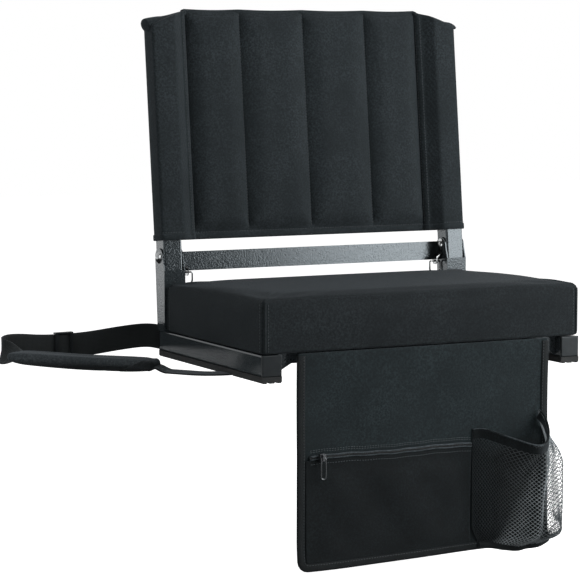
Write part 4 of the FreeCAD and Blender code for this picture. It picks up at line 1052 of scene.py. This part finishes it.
def paint_shade(finish, share_of):
    """Paints shade into the cloth: blends its colour towards black, by a share worked out from the object's
    coordinates.
    """
    tree = finish.node_tree
    plain = tree.nodes["Principled BSDF"].inputs["Base Color"].links[0].from_socket
    share = share_of(tree, axes_of(tree, object_spot(tree)))
    feed(tree, "Base Color", blend_colours(tree, share, plain, (0.0012, 0.0015, 0.0016, 1)))


def pouch_painted_shade(tree, axes):
    across = number_range(tree, axes["X"], pouch_left, pouch_left + 0.05, 0.5, 1)
    below = number_range(tree, axes["Z"], pouch_top - 0.03, pouch_top - 0.01, 0.9, 0)
    return figure(tree, "MULTIPLY", across, below)


# Painted shade: the flap's cloth behind the net, below its mouth, is blended towards black as if shadowed
# inside the pouch.
paint_shade(flap_cloth, pouch_painted_shade)
select_whole(net)
bpy.ops.mesh.unsubdivide(iterations=1)
bpy.ops.object.mode_set(mode="OBJECT")
apply_modifier(net, "WIREFRAME", thickness=net_thread, use_even_offset=False, use_boundary=True)
smooth(net)
net_cord, tree = new_finish("net_cord", {"Specular IOR Level": 0.5, "Specular Tint": (0.86, 0.95, 1, 1)})
cloth = place_group(tree, weave, {"Pitch": 0.0005, "Mottle": 60})
axes = axes_of(tree, object_spot(tree))
# Painted highlight: the threads are painted pale along the largest fold, less on its side turned away, and
# faintly over the right of the net.
past_fold = figure(tree, "SUBTRACT", axes["X"], figure(tree, "MULTIPLY", axes["Z"], fold_lean))
lit_fold = number_range(tree, past_fold, fold_line - 0.016, fold_line + 0.002)
turned_away = number_range(tree, past_fold, fold_line + 0.006, fold_line + 0.03, 1, 0.4)
right_side_highlight = number_range(tree, axes["X"], pouch_left + 0.025, pouch_left + 0.075, 0, 0.3)
painted_fold_highlight = figure(tree, "MAXIMUM", figure(tree, "MULTIPLY", lit_fold, turned_away), right_side_highlight)
cord_tone = blend_colours(tree, cloth["Mottle"], (0.006, 0.008, 0.009, 1), (0.02, 0.025, 0.027, 1))
highlight_tone = blend_colours(tree, cloth["Mottle"], (0.13, 0.15, 0.157, 1), (0.32, 0.35, 0.365, 1))
set_surface(tree, blend_colours(tree, painted_fold_highlight, cord_tone, highlight_tone),
            number_range(tree, cloth["Slub"], 0.3, 0.7, 0.3, 0.48), cloth["Threads"], 0.0001, 0.5)
dress(net, net_cord, "flap")
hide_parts("mesh_pocket")

band_section = [(0.0055, -0.0008), (0.0058, 0), (0.0055, 0.0008), (-0.004, 0.0008), (-0.0055, 0.0016),
                (-0.0064, 0.0002), (-0.0055, -0.0012), (-0.004, -0.0008)]
band_middle = 0.03
hem_place = 0.975
round_mouth = np.linspace(0, 1, 60)
band_path = [pouch_point(u, band_middle) for u in round_mouth]
just_out = [pouch_point(u, band_middle, 0.001) for u in round_mouth]
band_facing = [(out - here).normalized() for here, out in zip(band_path, just_out)]
band = sewn_strip("bottle_band", band_path, band_facing, band_section, pocket_cloth, "flap")
# The rim wears the pale lip cloth: a painted highlight along the band's top edge.
rim_path = [pouch_point(u, 0, 0.0005) + Vector((0, 0, 0.0012)) for u in round_mouth]
rim_section = oval(0.0008, 0.0008, 6)
rim = sewn_strip("bottle_band_rim", rim_path, band_facing, rim_section, highlight_lip_cloth, "flap")
net_hem_path = [pouch_point(u, hem_place) for u in np.linspace(0, 1, 44)]
net_hem = sewn_strip("bottle_hem", net_hem_path, Vector((0, 0, -1)), oval(0.0026, 0.0046, 8), ribbon_cloth,
                     "flap")
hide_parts("mesh_band")

# Shoulder strap: flat woven webbing and a soft pad.  It stands on edge behind the left upright, runs out to
# a slider, folds back through the pad and lies flat from there to the left runner, where it turns up.
web_width = 0.030
web_thick = 0.0018
strap_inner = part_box("strap_anchor_rear")[0].x - web_thick / 2
runner_low, runner_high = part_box("runner_left")
behind_frame = runner_high.y
rail_low, rail_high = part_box("base_rail_left")
web_level = rail_high.z - web_width / 2
seat_side = rail_low.x
strap_reach = 0.211
flat_level = 0.0002 + web_thick / 2
strap_front = runner_low.y + 0.099
bend = 0.0014


def beside(share, y, z=0.0):
    """A point of the strap, by its share of the reach beside the seat."""
    return Vector((seat_side - share * strap_reach, y, z))


pad_start = beside(0.872, behind_frame - 0.027)
pad_end = beside(0.322, runner_low.y + 0.157)
pad_way = (pad_end - pad_start).normalized()
pad_length = (pad_end - pad_start).length
strap_route = [
    Vector((strap_inner, behind_frame - 0.030, web_level)),
    Vector((strap_inner, behind_frame + 0.011, web_level)),
    Vector((strap_inner - 0.009, behind_frame + 0.0175, web_level + 0.002)),
]
for share, back, up in ((0.03, 0.0185, 0.008), (0.2, 0.018, 0.006), (0.445, 0.019, 0), (0.701, 0.0165, 0),
                        (0.858, 0.0145, 0.004), (0.943, 0.0115, 0.004), (0.99, 0.002, 0.001)):
    strap_route.append(beside(share, behind_frame + back, web_level + up))
for start, run, up in ((pad_start, -0.026, 0.0145), (pad_start, 0, 0.0115),
                       (pad_start, 0.3 * pad_length, 0.009), (pad_start, 0.8 * pad_length, 0.008),
                       (pad_end, 0.004, 0.0085), (pad_end, 0.018, flat_level), (pad_end, 0.026, flat_level)):
    strap_route.append(start + pad_way * run + Vector((0, 0, up)))
strap_route.append(beside(0.104, strap_front, flat_level))
for over, up in ((-2 * bend, 0), (0, 0.2 * bend), (0, 2 * bend), (0, bend + 0.022)):
    strap_route.append(Vector((strap_inner + over, strap_front, flat_level + up)))
curve = bpy.data.curves.new("strap_guide", "CURVE")
curve.dimensions = "3D"
curve.resolution_u = 10
spline = curve.splines.new("NURBS")
spline.points.add(len(strap_route) - 1)
for point, place in zip(spline.points, strap_route):
    point.co = (*place, 1)
spline.order_u = 3
spline.use_endpoint_u = True
guide = bpy.data.objects.new("strap_guide", curve)
scene.collection.objects.link(guide)
bpy.context.view_layer.update()
guide_line = bpy.data.meshes.new_from_object(guide.evaluated_get(bpy.context.evaluated_depsgraph_get()))
strap_line = [vertex.co.copy() for vertex in guide_line.vertices]
bpy.data.objects.remove(guide)

strap_run = np.cumsum([0.0] + [(b - a).length for a, b in zip(strap_line, strap_line[1:])])
fold_mark = min(range(len(strap_line)), key=lambda k: strap_line[k].x)
pad_mark = min(range(len(strap_line)), key=lambda k: (strap_line[k] - pad_start).length)
strap_facing = []
for k in range(len(strap_line)):
    way = way_along(strap_line, k)
    level = Vector((way.x, way.y, 0))
    heading = level.normalized() if level.length > 0.02 else Vector((1, 0, 0))
    on_edge = Vector((heading.y, -heading.x, 0))
    lying = way.cross(Vector((0, 0, 1)).cross(heading)).normalized()
    turned = ease(strap_run[k], strap_run[fold_mark] - 0.01, strap_run[pad_mark]) * math.pi / 2
    strap_facing.append((on_edge * math.cos(turned) + lying * math.sin(turned)).normalized())
half_wide, half_thick = web_width / 2, web_thick / 2
web_face = [(-half_wide, 0), (-half_wide + 0.0006, half_thick), (-half_wide + 0.003, half_thick),
            (0, half_thick), (half_wide - 0.003, half_thick), (half_wide - 0.0006, half_thick)]
web_section = web_face + [(-a, -b) for a, b in web_face]

webbing, tree = new_finish("strap_weave", {"Specular IOR Level": 0.3, "Sheen Weight": 0.2,
                                           "Sheen Roughness": 0.4, "Sheen Tint": cool_sheen})
cloth = place_group(tree, weave, {"Pitch": 0.0016, "Mottle": 40})
set_surface(tree, blend_colours(tree, figure(tree, "MULTIPLY", cloth["Threads"], cloth["Mottle"]),
                                (0.0058, 0.0076, 0.008, 1), (0.023, 0.0285, 0.03, 1)),
            number_range(tree, cloth["Threads"], 0, 1, 0.9, 0.65), cloth["Threads"], 0.0003, 0.7)
strap_web = sewn_strip("strap_webbing", strap_line, strap_facing, web_section, webbing,
                       "base")
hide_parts("strap_webbing_rear", "strap_webbing_front")

# Shoulder pad: a sewn tube of soft cloth around a foam strip, through which the webbing runs.  Its rear end
# tapers and lies up on the strap, and at its front end the cloth is lapped over in a short slanting tongue.
pad_width = 0.036
pad_thick = 0.0145
pad_over = 0.024
pad_under = 0.006
pad_round = 0.006
pad_rise = 0.0045
pad_gap = 0.0003
pad_grain = 0.0026
pad_end_held = 0.004
tip_start = 0.74
tongue_start = 0.62
tongue_low = 0.0045
tongue_slant = 21
tongue_rise = 0.0018
crease_low = 0.0072
crease_deep = 0.0022
full_length = pad_over + pad_length + pad_under
strap_pad = add_block("strap_shoulder_pad", (full_length, pad_width, pad_thick))
select_whole(strap_pad)
bpy.ops.mesh.bevel(offset=pad_round, segments=4, affect="EDGES")
remesh(strap_pad, pad_grain)
shape = points_of(strap_pad)
along = shape[:, 0] / (full_length / 2)
aside = shape[:, 1] / (pad_width / 2)
tip = np.clip((np.abs(along) - tip_start) / (1 - tip_start), 0, 1)
shape[:, 1] *= 1 - 0.3 * tip ** 2 * (along < 0)
shape[:, 2] *= 1 - np.where(along < 0, 0.32, 0.1) * tip ** 2
hollow = np.exp(-((aside - 0.15 + 0.3 * along) / 0.22) ** 2)
shape[:, 2] -= 0.0012 * hollow * (1 - tip) * (shape[:, 2] > 0)
move_points(strap_pad, shape)


def pad_ends(places):
    return np.abs(places[:, 0]) > full_length / 2 - pad_end_held


swell_cloth(strap_pad, pad_ends, pressure=2, reach=0.0008, slack=0.03)
shape = points_of(strap_pad)
lifted = np.clip(0.1 - shape[:, 0] / full_length, 0, 1) ** 1.5 * 2.2
shape[:, 2] += pad_gap - shape[:, 2].min() + pad_rise * lifted
move_points(strap_pad, shape)
refine(strap_pad)
shape = points_of(strap_pad)
along = shape[:, 0] / (full_length / 2)
front = np.clip(-shape[:, 1] / (pad_width / 2) / 0.5, 0, 1)
tongue = np.clip((along - tongue_start - tongue_slant * (shape[:, 2] - tongue_low)) / 0.025, 0, 1) * front
crease_height = crease_low - 0.0012 * along
in_crease = np.exp(-((shape[:, 2] - crease_height) / 0.0011) ** 2) * front * (1 - tongue)
in_crease *= np.clip((along + 0.35) / 0.6, 0, 1)
shape[:, 1] += crease_deep * in_crease - tongue_rise * tongue
move_points(strap_pad, shape)
# The crease and the tongue are stored as a share of painted shade for the pad's cloth.
painted_fold_shade = strap_pad.data.attributes.new("painted_fold_shade", "FLOAT", "POINT")
painted_fold_shade.data.foreach_set("value", np.maximum(0.75 * in_crease, 0.7 * tongue))
pad_middle = pad_start + pad_way * ((pad_length + pad_under - pad_over) / 2)
pad_turn = Matrix.Rotation(math.atan2(pad_way.y, pad_way.x), 4, "Z")
strap_pad.data.transform(Matrix.Translation(pad_middle) @ pad_turn)
pad_cloth = black_cloth("pad_polyester", (0.022, 0.027, 0.030, 1), (0.064, 0.074, 0.080, 1))


def pad_painted_shade(tree, axes):
    folded = add_node(tree, "ShaderNodeAttribute", attribute_name="painted_fold_shade").outputs["Fac"]
    return figure(tree, "MAXIMUM", number_range(tree, axes["Z"], 0.0045, 0.0125, 0.85, 0), folded)


# Painted shade: the pad's lower half, its crease and its tongue are blended towards black.
paint_shade(pad_cloth, pad_painted_shade)
dress(strap_pad, pad_cloth, "base")
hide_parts("strap_pad")
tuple(strap_line[0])
